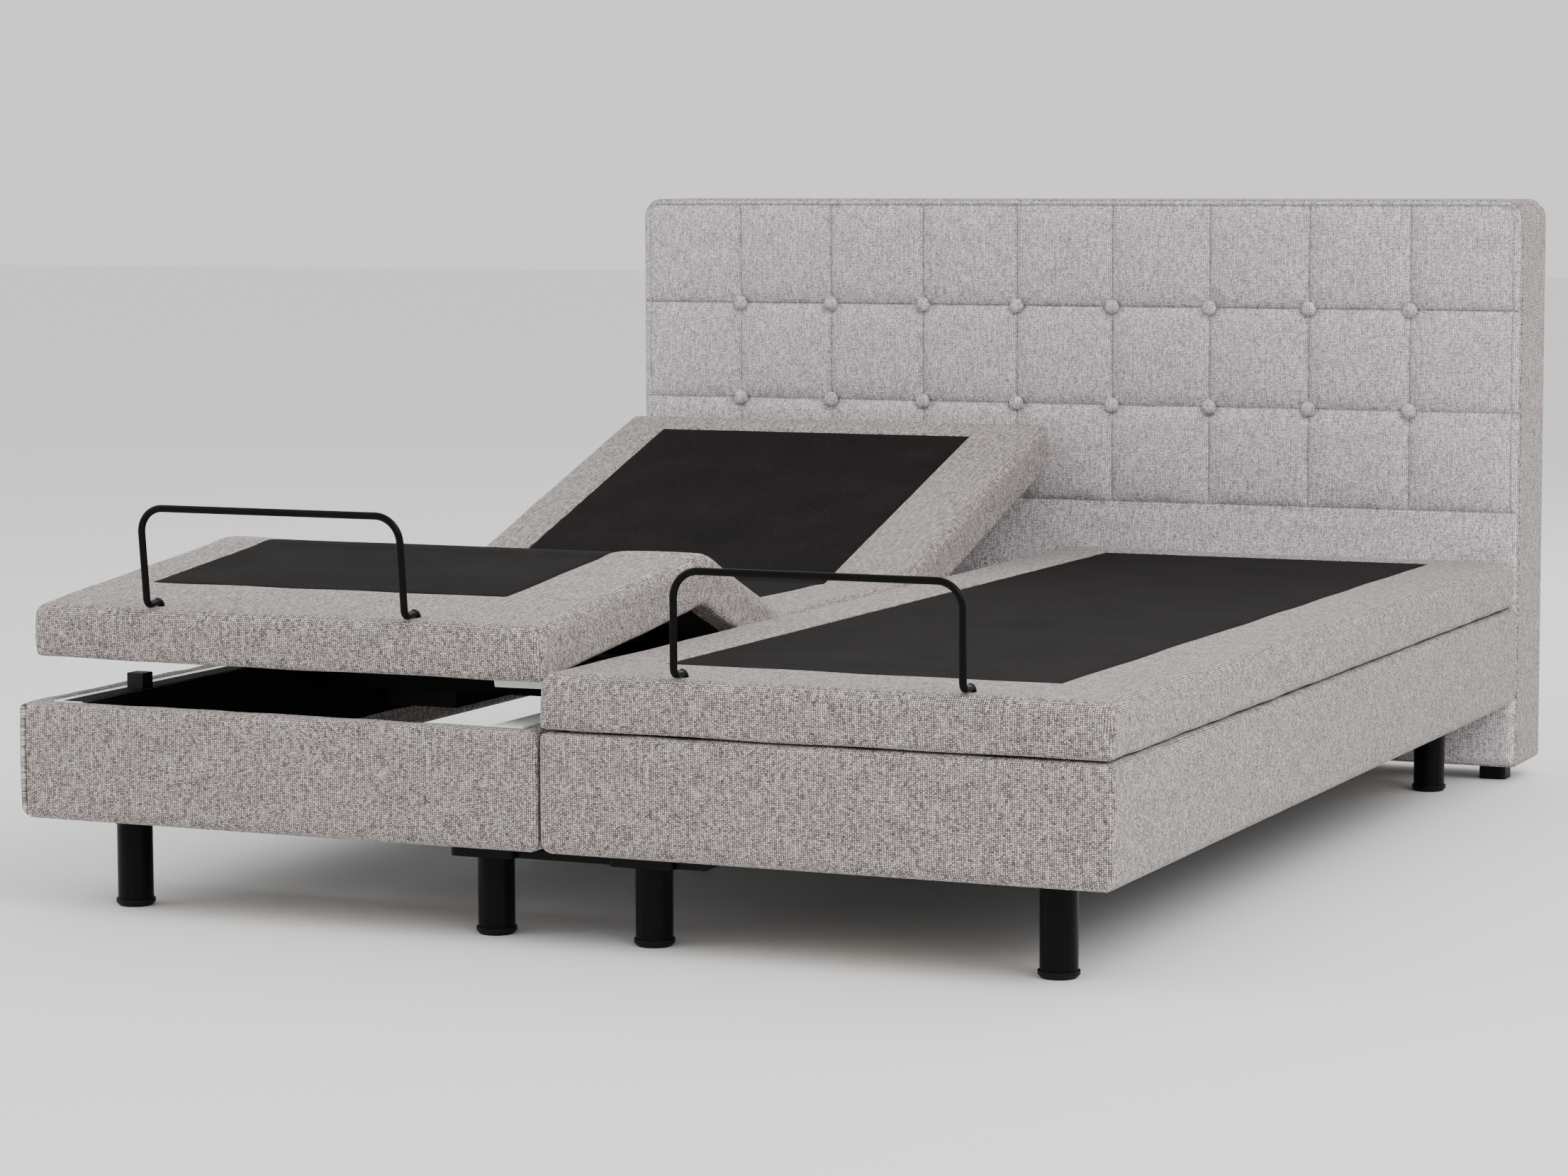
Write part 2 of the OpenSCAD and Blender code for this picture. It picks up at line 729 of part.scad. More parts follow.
side_boards(left);  // left_side_boards
end_boards(left);  // left_end_boards
leg_beams(left);  // left_leg_beams
legs(left);  // left_legs
leg_glides(left);  // left_leg_glides
side_rails(left);  // left_side_rails
seat_frame(left);  // left_seat_frame
bumpers(left);  // left_bumpers
control_box(left);  // left_control_box
pivot_pins(left);  // left_pivot_pins
seat_panel(left);  // left_seat_panel
seat_pad(left);  // left_seat_pad
back_frame(left);  // left_back_frame
back_panel(left);  // left_back_panel
back_pad(left);  // left_back_pad
thigh_frame(left);  // left_thigh_frame
thigh_panel(left);  // left_thigh_panel
thigh_pad(left);  // left_thigh_pad
knee_pins(left);  // left_knee_pins
calf_frame(left);  // left_calf_frame
calf_panel(left);  // left_calf_panel
calf_pad(left);  // left_calf_pad
retainer_bar(left);  // left_retainer_bar
back_motor(left);  // left_back_motor
back_rod(left);  // left_back_rod
leg_motor(left);  // left_leg_motor
leg_rod(left);  // left_leg_rod
side_boards(right);  // right_side_boards
end_boards(right);  // right_end_boards
leg_beams(right);  // right_leg_beams
legs(right);  // right_legs
leg_glides(right);  // right_leg_glides
side_rails(right);  // right_side_rails
seat_frame(right);  // right_seat_frame
bumpers(right);  // right_bumpers
control_box(right);  // right_control_box
pivot_pins(right);  // right_pivot_pins
seat_panel(right);  // right_seat_panel
seat_pad(right);  // right_seat_pad
back_frame(right);  // right_back_frame
back_panel(right);  // right_back_panel
back_pad(right);  // right_back_pad
thigh_frame(right);  // right_thigh_frame
thigh_panel(right);  // right_thigh_panel
thigh_pad(right);  // right_thigh_pad
knee_pins(right);  // right_knee_pins
calf_frame(right);  // right_calf_frame
calf_panel(right);  // right_calf_panel
calf_pad(right);  // right_calf_pad
retainer_bar(right);  // right_retainer_bar
back_motor(right);  // right_back_motor
back_rod(right);  // right_back_rod
leg_motor(right);  // right_leg_motor
leg_rod(right);  // right_leg_rod
joining_strips();
headboard_plates();
headboard_feet();
headboard_core();
headboard_cushion();
headboard_buttons();
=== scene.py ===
import json
import math

import bmesh
import bpy
import numpy as np
from mathutils import Matrix, Vector


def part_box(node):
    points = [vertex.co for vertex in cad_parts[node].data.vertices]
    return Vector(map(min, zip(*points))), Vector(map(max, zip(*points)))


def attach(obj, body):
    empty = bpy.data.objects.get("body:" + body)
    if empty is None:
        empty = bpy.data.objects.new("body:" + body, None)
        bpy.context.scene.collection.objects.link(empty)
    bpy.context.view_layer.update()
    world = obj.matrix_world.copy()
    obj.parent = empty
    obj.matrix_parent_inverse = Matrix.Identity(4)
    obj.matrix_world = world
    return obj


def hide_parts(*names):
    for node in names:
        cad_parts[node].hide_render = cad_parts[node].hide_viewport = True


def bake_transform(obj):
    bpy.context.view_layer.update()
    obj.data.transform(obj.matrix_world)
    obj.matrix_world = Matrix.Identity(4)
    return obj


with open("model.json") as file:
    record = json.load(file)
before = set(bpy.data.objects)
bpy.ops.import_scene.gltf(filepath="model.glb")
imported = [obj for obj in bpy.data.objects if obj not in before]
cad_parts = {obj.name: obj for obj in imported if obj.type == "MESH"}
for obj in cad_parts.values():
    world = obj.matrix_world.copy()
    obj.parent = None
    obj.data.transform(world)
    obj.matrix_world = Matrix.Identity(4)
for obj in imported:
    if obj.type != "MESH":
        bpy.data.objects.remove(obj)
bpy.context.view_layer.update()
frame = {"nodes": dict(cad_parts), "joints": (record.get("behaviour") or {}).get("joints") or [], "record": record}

MM = 0.001

# ---------------------------------------------------------------- the frame's own places, in metres

JOINTS = {j["name"]: j for j in frame["joints"]}
SIDES = {"left": -1, "right": 1}
COUPLINGS = frame["record"]["behaviour"]["couplings"]
KNEE_RATIO = next(c["ratio"] for c in COUPLINGS if c["joint"] == "left_knee")


def node_low(name):
    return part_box(name)[0]


def node_high(name):
    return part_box(name)[1]


FOOT_Y = node_low("right_end_boards").y
HEAD_Y = node_high("right_end_boards").y
INNER_X = node_low("right_end_boards").x
OUTER_X = node_high("right_end_boards").x
BOX_LOW = node_low("right_end_boards").z
BOX_TOP = node_high("right_end_boards").z
PAD_LOW = node_low("right_seat_pad").z
PAD_TOP = node_high("right_seat_pad").z
MAT_END = node_high("right_back_pad").y
HINGE_Z = JOINTS["right_back_raise"]["pos_m"][2]
BACK_Y = JOINTS["right_back_raise"]["pos_m"][1]
THIGH_Y = JOINTS["right_thigh_raise"]["pos_m"][1]
KNEE_Y = JOINTS["right_knee"]["pos_m"][1]


def rest_raise(joint):
    """How far a joint is raised in the stored pose, in radians."""
    return -math.radians(JOINTS[joint]["range_deg"][0])


# ---------------------------------------------------------------- mesh helpers


def stations(a, b, step, fine=(), near=0.0, fine_step=None):
    """Positions from a to b about step apart, and closer within near of each place in fine."""
    points = list(np.linspace(a, b, max(2, int(round((b - a) / step)) + 1)))
    for f in fine:
        lo, hi = max(a, f - near), min(b, f + near)
        if hi > lo:
            points += list(np.linspace(lo, hi, max(2, int(round((hi - lo) / fine_step)) + 1)))
    points = np.array(sorted(set(np.round(points, 6))))
    keep = [points[0]]
    smallest = 0.6 * (fine_step or step)
    for p in points[1:-1]:
        if p - keep[-1] >= smallest and b - p >= smallest:
            keep.append(p)
    return np.array(keep + [points[-1]])


def grid_box(xs, ys, zs):
    """Points and quads of a box's surface, with a vertex at every station of each side."""
    nx, ny, nz = len(xs), len(ys), len(zs)

    def ids(i, j, k):
        return (i * ny + j) * nz + k

    quads = []

    def side(a, b, at, flip):
        ia, ib = np.meshgrid(np.arange(a - 1), np.arange(b - 1), indexing="ij")
        corners = [at(ia, ib), at(ia + 1, ib), at(ia + 1, ib + 1), at(ia, ib + 1)]
        q = np.stack([c.ravel() for c in corners], 1)
        quads.append(q[:, ::-1] if flip else q)

    side(ny, nz, lambda j, k: ids(nx - 1, j, k), False)
    side(ny, nz, lambda j, k: ids(0, j, k), True)
    side(nz, nx, lambda k, i: ids(i, ny - 1, k), False)
    side(nz, nx, lambda k, i: ids(i, 0, k), True)
    side(nx, ny, lambda i, j: ids(i, j, nz - 1), False)
    side(nx, ny, lambda i, j: ids(i, j, 0), True)
    quads = np.concatenate(quads)
    used, faces = np.unique(quads, return_inverse=True)
    faces = faces.reshape(-1, 4)
    i, rest = np.divmod(used, ny * nz)
    j, k = np.divmod(rest, nz)
    return np.stack([xs[i], ys[j], zs[k]], 1), faces


def smooth_step(t):
    t = np.clip(t, 0.0, 1.0)
    return t * t * (3 - 2 * t)


def round_box(p, low, high, r_low, r_high, ends=(True, True)):
    """Rounds a box's edges by r_low at its underside and r_high at its top.

    ends says which y ends are rounded.
    """
    r = r_low + (r_high - r_low) * smooth_step((p[:, 2] - low[2]) / (high[2] - low[2]))
    c = p.copy()
    c[:, 0] = np.clip(p[:, 0], low[0] + r, high[0] - r)
    if ends[0]:
        c[:, 1] = np.maximum(c[:, 1], low[1] + r)
    if ends[1]:
        c[:, 1] = np.minimum(c[:, 1], high[1] - r)
    c[:, 2] = np.clip(p[:, 2], low[2] + r, high[2] - r)
    d = p - c
    n = np.linalg.norm(d, axis=1)
    out = n > 1e-9
    q = p.copy()
    q[out] = c[out] + d[out] / n[out, None] * r[out, None]
    return q


def waves(a, b, scale, seed):
    """Slow unevenness between about -1 and 1 over two coordinates, the same on every run."""
    rng = np.random.default_rng(seed)
    total = np.zeros(len(a))
    for _ in range(7):
        fa, fb = rng.uniform(-1, 1, 2) * 2 * math.pi / scale
        total += np.sin(fa * a + fb * b + rng.uniform(0, 2 * math.pi))
    return total / 3.5


def cloth_coordinates(mesh, flat):
    """Stores where each face corner lies on its flat cloth, in metres, for the weave to follow."""
    nf = len(mesh.polygons)
    loops = np.zeros(len(mesh.loops), np.int64)
    mesh.loops.foreach_get("vertex_index", loops)
    starts = np.zeros(nf, np.int64)
    totals = np.zeros(nf, np.int64)
    mesh.polygons.foreach_get("loop_start", starts)
    mesh.polygons.foreach_get("loop_total", totals)
    a, b = flat[loops[starts]], flat[loops[starts + 1]]
    c, d = flat[loops[starts + 2]], flat[loops[starts + np.minimum(totals, 4) - 1]]
    n = np.abs(np.cross(c - a, d - b))
    axis = np.argmax(n + np.array([0, 1e-12, 2e-12]), axis=1)
    which = np.repeat(axis, totals)
    p = flat[loops]
    u = np.where(which == 0, p[:, 1], p[:, 0])
    v = np.where(which == 2, p[:, 1], p[:, 2])
    data = np.stack([u, v, which * 3.0], 1).astype(np.float32)
    layer = mesh.attributes.new("cloth", "FLOAT_VECTOR", "CORNER")
    layer.data.foreach_set("vector", data.ravel())


def piece(name, points, faces, materials, flat=None, material_of=None, mirror=False):
    """A smooth mesh object.

    flat is where its points lie before it is bent, and material_of picks a material for each face.
    """
    if mirror:
        points = points * np.array([-1, 1, 1])
        faces = [list(f)[::-1] for f in faces]
    mesh = bpy.data.meshes.new(name)
    mesh.from_pydata([tuple(p) for p in points], [], [tuple(int(i) for i in f) for f in faces])
    mesh.update()
    for m in materials:
        mesh.materials.append(m)
    if material_of is not None:
        mesh.polygons.foreach_set("material_index", np.asarray(material_of, np.int32))
    mesh.polygons.foreach_set("use_smooth", np.ones(len(mesh.polygons), bool))
    mesh.set_sharp_from_angle(angle=math.radians(70))
    cloth_coordinates(mesh, points if flat is None else flat)
    obj = bpy.data.objects.new(name, mesh)
    bpy.context.scene.collection.objects.link(obj)
    return obj


def points_of(obj):
    co = np.zeros(len(obj.data.vertices) * 3)
    obj.data.vertices.foreach_get("co", co)
    return co.reshape(-1, 3)


def set_points(obj, p):
    obj.data.vertices.foreach_set("co", np.ascontiguousarray(p).ravel())
    obj.data.update()


SIM_FRAMES = 14


def inflate(obj, held, pressure, most):
    """Runs the cloth simulation: air pressure fills the cover where it isn't held, by no more than most."""
    start = points_of(obj)
    group = obj.vertex_groups.new(name="held")
    group.add([int(i) for i in np.flatnonzero(held)], 1.0, "REPLACE")
    cloth = obj.modifiers.new("cover", "CLOTH")
    cloth.settings.quality = 4
    cloth.settings.mass = 0.3
    cloth.settings.tension_stiffness = 40
    cloth.settings.compression_stiffness = 40
    cloth.settings.shear_stiffness = 20
    cloth.settings.bending_stiffness = 4
    cloth.settings.use_pressure = True
    cloth.settings.uniform_pressure_force = pressure
    cloth.settings.vertex_group_mass = "held"
    cloth.settings.effector_weights.gravity = 0
    cloth.point_cache.frame_start = 1
    cloth.point_cache.frame_end = SIM_FRAMES
    scene = bpy.context.scene
    for f in range(1, SIM_FRAMES + 1):
        scene.frame_set(f)
    shape = obj.evaluated_get(bpy.context.evaluated_depsgraph_get())
    end = points_of(shape)
    obj.modifiers.remove(cloth)
    obj.vertex_groups.remove(group)
    scene.frame_set(1)
    move = end - start
    size = np.linalg.norm(move, axis=1)
    scale = np.where(size > most, most / np.maximum(size, 1e-9), 1.0)
    set_points(obj, start + move * scale[:, None])


# ---------------------------------------------------------------- materials


class Nodes:
    """Short names for building a material's node tree."""

    def __init__(self, name):
        self.material = bpy.data.materials.new(name)
        self.material.use_nodes = True
        self.tree = self.material.node_tree
        self.shader = self.tree.nodes["Principled BSDF"]

    def add(self, kind, inputs=None, **settings):
        node = self.tree.nodes.new(kind)
        for key, value in settings.items():
            setattr(node, key, value)
        for key, value in (inputs or {}).items():
            self.put(node.inputs[key], value)
        return node

    def put(self, socket, value):
        if isinstance(value, bpy.types.NodeSocket):
            self.tree.links.new(value, socket)
        else:
            socket.default_value = value

    def math(self, operation, a, b=0.0, c=0.0, clamp=False):
        node = self.add("ShaderNodeMath", {0: a, 1: b, 2: c}, operation=operation, use_clamp=clamp)
        return node.outputs[0]

    def noise(self, vector, scale, detail=2.0, rough=0.5):
        inputs = {"Vector": vector, "Scale": scale, "Detail": detail, "Roughness": rough}
        node = self.add("ShaderNodeTexNoise", inputs)
        return node.outputs["Fac"]

    def mapped(self, vector, scale):
        node = self.add("ShaderNodeMapping", {"Vector": vector, "Scale": scale})
        return node.outputs[0]

    def mix(self, factor, a, b):
        node = self.add("ShaderNodeMix", data_type="RGBA")
        self.put(node.inputs["Factor"], factor)
        self.put(node.inputs[6], a)
        self.put(node.inputs[7], b)
        return node.outputs[2]

    def ramp(self, factor, stops):
        node = self.add("ShaderNodeValToRGB", {"Fac": factor})
        elements = node.color_ramp.elements
        while len(elements) < len(stops):
            elements.new(0.5)
        for element, (at, value) in zip(elements, stops):
            element.position = at
            element.color = (*value, 1)
        return node.outputs[0]

    def finish(self, color, roughness, height=None, bump=0.3, distance=0.001, **constants):
        """Connects colour, roughness and bump; constants are the shader's other inputs by name."""
        self.put(self.shader.inputs["Base Color"], color)
        self.put(self.shader.inputs["Roughness"], roughness)
        if height is not None:
            node = self.add("ShaderNodeBump", {"Height": height, "Strength": bump, "Distance": distance})
            self.put(self.shader.inputs["Normal"], node.outputs[0])
        for key, value in constants.items():
            self.shader.inputs[key.replace("_", " ")].default_value = value
        return self.material


def cloth_vector(n):
    return n.add("ShaderNodeAttribute", attribute_name="cloth").outputs["Vector"]


# How far threads stray from straight lines, in metres
THREAD_WANDER = 0.0016
# Changes of tone along a thread, a metre
WARP_RATE, WEFT_RATE = 120.0, 140.0
# Steps between neighbouring threads in the noise that gives them their tones
WARP_STEP, WEFT_STEP = 7.31, 5.77
# The colour of the painted shade in a seam's crease
SEAM_SHADE = (0.05, 0.042, 0.042, 1)


def thread_tone(n, thread, along, rate):
    """Tone of one thread along its length, different from its neighbours'."""
    length = n.math("MULTIPLY", along, rate)
    place = n.add("ShaderNodeCombineXYZ", {0: thread, 1: length, 2: rate}).outputs[0]
    return n.noise(place, 1.0, 2.5, 0.65)


def woven(name, light, middle, dark, pitch, relief=0.5, quilt=None):
    """A plain melange weave of slubby threads, each with its own changing tone.

    pitch is the distance between threads both ways, in metres. quilt gives a function of the node
    helper and the cloth's two coordinates: 1 on a stitched line, 0 away from it.
    """
    n = Nodes(name)
    flat = cloth_vector(n)
    wander = n.math("SUBTRACT", n.noise(flat, 55.0, 1.0), 0.5)
    parts = n.add("ShaderNodeSeparateXYZ", {0: flat}).outputs
    u = n.math("DIVIDE", n.math("MULTIPLY_ADD", wander, THREAD_WANDER, parts[0]), pitch[0])
    v = n.math("DIVIDE", n.math("MULTIPLY_ADD", wander, THREAD_WANDER, parts[1]), pitch[1])
    warp, weft = n.math("FLOOR", u), n.math("FLOOR", v)
    warp_tone = thread_tone(n, n.math("MULTIPLY", warp, WARP_STEP), parts[1], WARP_RATE)
    weft_tone = thread_tone(n, n.math("MULTIPLY", weft, WEFT_STEP), parts[0], WEFT_RATE)
    warp_on_top = n.math("PINGPONG", n.math("ADD", warp, weft), 1.0)
    own = n.math("MULTIPLY_ADD", n.math("SUBTRACT", warp_tone, weft_tone), warp_on_top, weft_tone)
    own = n.math("MULTIPLY_ADD", n.math("SUBTRACT", warp_on_top, 0.5), 0.05, own)
    round_u = n.math("SINE", n.math("MULTIPLY", n.math("FRACT", u), math.pi))
    round_v = n.math("SINE", n.math("MULTIPLY", n.math("FRACT", v), math.pi))
    body = n.math("POWER", n.math("MULTIPLY", round_u, round_v), 0.5)
    fleck = n.noise(n.mapped(flat, (430, 520, 1)), 1.0, 1.5, 0.6)
    streak = n.noise(n.mapped(flat, (190, 34, 1)), 1.0, 2.0, 0.6)
    tone = n.math("MULTIPLY_ADD", own, 0.70, n.math("MULTIPLY", fleck, 0.30))
    tone = n.math("MULTIPLY_ADD", n.math("SUBTRACT", streak, 0.5), 0.20, tone)
    # Painted shade: the tone darkens where each thread rounds away into the gaps between threads
    tone = n.math("MULTIPLY_ADD", n.math("SUBTRACT", body, 0.75), 0.30, tone)
    color = n.ramp(tone, [(0.36, dark), (0.49, middle), (0.62, light)])
    height = n.math("MULTIPLY_ADD", body, 0.8, n.math("MULTIPLY", own, 0.4))
    if quilt:
        line = quilt(n, parts[0], parts[1])
        # Painted shade: the colour darkens towards SEAM_SHADE in the creases along the seams
        color = n.mix(n.math("MULTIPLY", line, 0.62), color, SEAM_SHADE)
        height = n.math("MULTIPLY_ADD", line, -2.0, height)
    sheen = {"Sheen_Weight": 0.12, "Sheen_Roughness": 0.6, "Specular_IOR_Level": 0.12}
    return n.finish(color, 0.95, height, relief, 0.0010, **sheen)


def grip_cloth():
    """Black anti-slip cloth with a fine rubbery grain and a little pale dust."""
    n = Nodes("anti_slip_cloth")
    flat = cloth_vector(n)
    grain = n.noise(n.mapped(flat, (500, 500, 1)), 1.0, 2.0, 0.6)
    warp = n.noise(n.mapped(flat, (620, 60, 1)), 1.0, 2.0, 0.6)
    dust = n.noise(flat, 9.0, 4.0, 0.65)
    speck = n.math("GREATER_THAN", n.noise(n.mapped(flat, (300, 300, 1)), 1.0, 0.0), 0.80)
    tone = n.math("MULTIPLY_ADD", grain, 0.55, n.math("MULTIPLY", warp, 0.45))
    tone = n.math("MULTIPLY_ADD", n.math("SUBTRACT", dust, 0.5), 0.35, tone)
    dark, middle, light = (0.0045, 0.0040, 0.0038), (0.010, 0.009, 0.0085), (0.024, 0.022, 0.020)
    color = n.ramp(tone, [(0.34, dark), (0.55, middle), (0.80, light)])
    color = n.mix(n.math("MULTIPLY", speck, 0.3), color, (0.10, 0.092, 0.085, 1))
    sheen = {"Specular_IOR_Level": 0.06, "Sheen_Weight": 0.012, "Sheen_Roughness": 0.4}
    return n.finish(color, 0.9, tone, 0.5, 0.0006, **sheen)


def object_vector(n):
    return n.add("ShaderNodeTexCoord").outputs["Object"]


def coated(name, color, roughness, grain, bump, gloss_level=0.5):
    """Powder coat or moulded plastic: a fine grain, small changes of gloss, and a painted highlight on sharp
    edges.
    """
    n = Nodes(name)
    place = object_vector(n)
    fine = n.noise(place, grain, 2.0, 0.6)
    slow = n.noise(place, 14.0, 3.0, 0.6)
    gloss = n.math("MULTIPLY_ADD", slow, 0.16, n.math("MULTIPLY_ADD", fine, 0.06, roughness - 0.11))
    edge = n.add("ShaderNodeNewGeometry").outputs["Pointiness"]
    # Painted highlight: sharp edges (high pointiness) are lightened towards a paler colour
    edge_highlight = n.math("MULTIPLY", n.math("SUBTRACT", edge, 0.53, clamp=True), 3.0, clamp=True)
    tone = n.mix(n.math("MULTIPLY", slow, 0.5), (*color, 1), (*[c * 1.5 + 0.004 for c in color], 1))
    tone = n.mix(n.math("MULTIPLY", edge_highlight, 0.5), tone, (*[c * 2 + 0.03 for c in color], 1))
    return n.finish(tone, gloss, fine, bump, 0.0003, Specular_IOR_Level=gloss_level)


def steel(name, color, roughness):
    """Drawn bright steel: lines along its length, faint stains."""
    n = Nodes(name)
    place = object_vector(n)
    lines = n.noise(n.mapped(place, (900, 8, 900)), 1.0, 3.0, 0.6)
    stain = n.noise(place, 25.0, 4.0, 0.6)
    tone = n.mix(n.math("MULTIPLY", stain, 0.35), (*color, 1), (*[c * 0.7 for c in color], 1))
    gloss = n.math("MULTIPLY_ADD", lines, 0.18, n.math("MULTIPLY_ADD", stain, 0.12, roughness - 0.12))
    return n.finish(tone, gloss, lines, 0.15, 0.0002, Metallic=1.0)


def wood(name, light, dark):
    """Straight grained board with rings drawn out along y."""
    n = Nodes(name)
    place = object_vector(n)
    wobble = n.noise(n.mapped(place, (9, 1.6, 9)), 1.0, 3.0, 0.55)
    rings = n.math("FRACT", n.math("MULTIPLY", wobble, 9.0))
    pores = n.noise(n.mapped(place, (900, 22, 900)), 1.0, 2.0, 0.6)
    tone = n.math("MULTIPLY_ADD", pores, 0.5, n.math("MULTIPLY", rings, 0.5))
    color = n.ramp(tone, [(0.2, dark), (0.75, light)])
    return n.finish(color, n.math("MULTIPLY_ADD", pores, 0.2, 0.5), pores, 0.2, 0.0004)


def felt(name, light, dark):
    """Thin non-woven lining with matted fibres."""
    n = Nodes(name)
    flat = cloth_vector(n)
    fibres = n.noise(n.mapped(flat, (260, 200, 1)), 1.0, 5.0, 0.75)
    slow = n.noise(flat, 7.0, 3.0)
    tone = n.math("MULTIPLY_ADD", slow, 0.3, n.math("MULTIPLY", fibres, 0.7))
    color = n.ramp(tone, [(0.3, dark), (0.75, light)])
    return n.finish(color, 0.93, fibres, 0.3, 0.0006, Specular_IOR_Level=0.2)


# The headboard's stitched lines, which its cover and its cloth share
HB_LOW, HB_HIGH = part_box("headboard_cushion")[0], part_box("headboard_core")[1]
HB_X = HB_HIGH.x
BUTTONS = np.array([v.co[:] for v in frame["nodes"]["headboard_buttons"].data.vertices])
BUTTON_R = 0.011
BUTTON_COLUMNS = 8
MIDDLE = (BUTTON_COLUMNS - 1) / 2
ROW_Z = [float(BUTTONS[:, 2].max() - BUTTON_R), float(BUTTONS[:, 2].min() + BUTTON_R)]
PITCH = (BUTTONS[:, 0].max() - BUTTON_R) / MIDDLE
COLUMNS = [PITCH * (i - MIDDLE) for i in range(BUTTON_COLUMNS)]
# The lower seam under the lower buttons, and the upper one under the top edge
LOW_SEAM = ROW_Z[1] - 0.165
TOP_SEAM = HB_HIGH.z - 0.010
SEAM_WIDTH = 2.2 * MM
STITCH = 6.0 * MM


def near(n, value, place, width):
    """1 where value is at place, falling to 0 over width."""
    away = n.math("DIVIDE", n.math("ABSOLUTE", n.math("SUBTRACT", value, place)), width)
    return n.math("SUBTRACT", 1.0, away, clamp=True)


def quilt_lines(n, x, z):
    """Seam lines between the quilted squares, with the dents of their stitches; they groove the bump and carry the
    painted shade of the seams' creases.
    """
    column = n.math("PINGPONG", n.math("ADD", n.math("DIVIDE", x, PITCH), 0.5), 0.5)
    column = n.math("MULTIPLY", column, PITCH)
    upright = n.math("SUBTRACT", 1.0, n.math("DIVIDE", column, SEAM_WIDTH), clamp=True)
    inside = n.math("MULTIPLY", n.math("GREATER_THAN", z, LOW_SEAM), n.math("LESS_THAN", z, TOP_SEAM))
    upright = n.math("MULTIPLY", upright, inside)
    level = near(n, z, ROW_Z[0], SEAM_WIDTH)
    for row in (ROW_Z[1], LOW_SEAM, TOP_SEAM):
        level = n.math("MAXIMUM", level, near(n, z, row, SEAM_WIDTH))
    along = n.math("ADD", x, z)
    ripple = n.math("SINE", n.math("MULTIPLY", along, 2 * math.pi / STITCH))
    stitches = n.math("MULTIPLY_ADD", ripple, 0.2, 0.8)
    return n.math("MULTIPLY", n.math("MAXIMUM", upright, level), stitches)


UPHOLSTERY_TONES = ((0.66, 0.598, 0.568), (0.310, 0.272, 0.256), (0.060, 0.049, 0.045))
HEADBOARD_TONES = ((0.88, 0.823, 0.835), (0.54, 0.494, 0.507), (0.19, 0.166, 0.174))
UPHOLSTERY_PITCH, HEADBOARD_PITCH = (0.0031, 0.0024), (0.0029, 0.0022)
HEADBOARD_RELIEF = 0.4
UPHOLSTERY = woven("grey_melange_weave", *UPHOLSTERY_TONES, UPHOLSTERY_PITCH)
HEADBOARD = woven("headboard_weave", *HEADBOARD_TONES, HEADBOARD_PITCH, HEADBOARD_RELIEF)
QUILTED = woven("headboard_quilted_weave", *HEADBOARD_TONES, HEADBOARD_PITCH, HEADBOARD_RELIEF, quilt_lines)
GRIP = grip_cloth()
LINING = felt("black_lining", (0.012, 0.011, 0.011), (0.004, 0.004, 0.004))
BLACK_COAT = coated("black_powder_coat", (0.0013, 0.0012, 0.0012), 0.34, 1400, 0.08, 0.07)
BLACK_PLASTIC = coated("black_plastic", (0.0025, 0.0025, 0.0027), 0.5, 900, 0.15, 0.1)
RUBBER = coated("black_rubber", (0.005, 0.005, 0.005), 0.62, 700, 0.2, 0.3)
# Painted reflection: the rail's white colour stands in for the bright reflection along the rail's top
RAIL_PAINTED_REFLECTION = coated("white_rail_paint", (0.80, 0.80, 0.80), 0.3, 600, 0.05)
BRIGHT = steel("bright_steel", (0.72, 0.72, 0.73), 0.3)
STAINED_PLY = wood("stained_plywood", (0.030, 0.027, 0.025), (0.012, 0.011, 0.010))
TIMBER = wood("pine_beam", (0.62, 0.46, 0.29), (0.42, 0.28, 0.16))
PALE_TAG = coated("pale_tag", (0.60, 0.62, 0.60), 0.6, 500, 0.05)

SLOT_LOOKS = {
    "upholstery": UPHOLSTERY,
    "grip_fabric": GRIP,
    "black_steel": BLACK_COAT,
    "bright_steel": BRIGHT,
    "rail_paint": RAIL_PAINTED_REFLECTION,
    "black_plastic": BLACK_PLASTIC,
    "rubber": RUBBER,
    "plywood": STAINED_PLY,
    "timber": TIMBER,
}
for row in frame["record"]["subparts"]:
    cad = frame["nodes"][row["node"]]
    cad.data.materials.clear()
    cad.data.materials.append(SLOT_LOOKS[row["material_slot"]])

# ---------------------------------------------------------------- platform mats

MAT_LOW = PAD_LOW - 0.3 * MM
MAT_TOP = PAD_TOP + 1.5 * MM
# Half the length over which a mat bends at each hinge
FOLD_HALF = {"back": 0.060, "thigh": 0.060, "knee": 0.042}
# How far a mat stays in from the outer face of its box
MAT_INSET = {"left": 0.007, "right": 0.002}
# Borders of the black panel: along its inner and outer sides, each at the foot end and at the head end
# of the mat, then across the foot and across the head
PANEL = {
    "left": {"inner": (0.151, 0.120), "outer": (0.085, 0.098), "foot": 0.188, "head": 0.066},
    "right": {"inner": (0.101, 0.101), "outer": (0.134, 0.134), "foot": 0.172, "head": 0.065},
}
# How far the lining stays in from the edges of the mat's underside
LINING_EDGE = 0.035
SEAT_MID = (THIGH_Y + BACK_Y) / 2
THIGH_MID = (KNEE_Y + THIGH_Y) / 2


def turn(p, y, z, angle, weight):
    """Turns points about the line through (y, z) along x by angle times weight."""
    a = angle * weight
    c, s = np.cos(a), np.sin(a)
    q = p.copy()
    q[:, 1] = y + (p[:, 1] - y) * c - (p[:, 2] - z) * s
    q[:, 2] = z + (p[:, 1] - y) * s + (p[:, 2] - z) * c
    return q


def fold_weight(y, at, half):
    return smooth_step((y - (at - half)) / (2 * half))


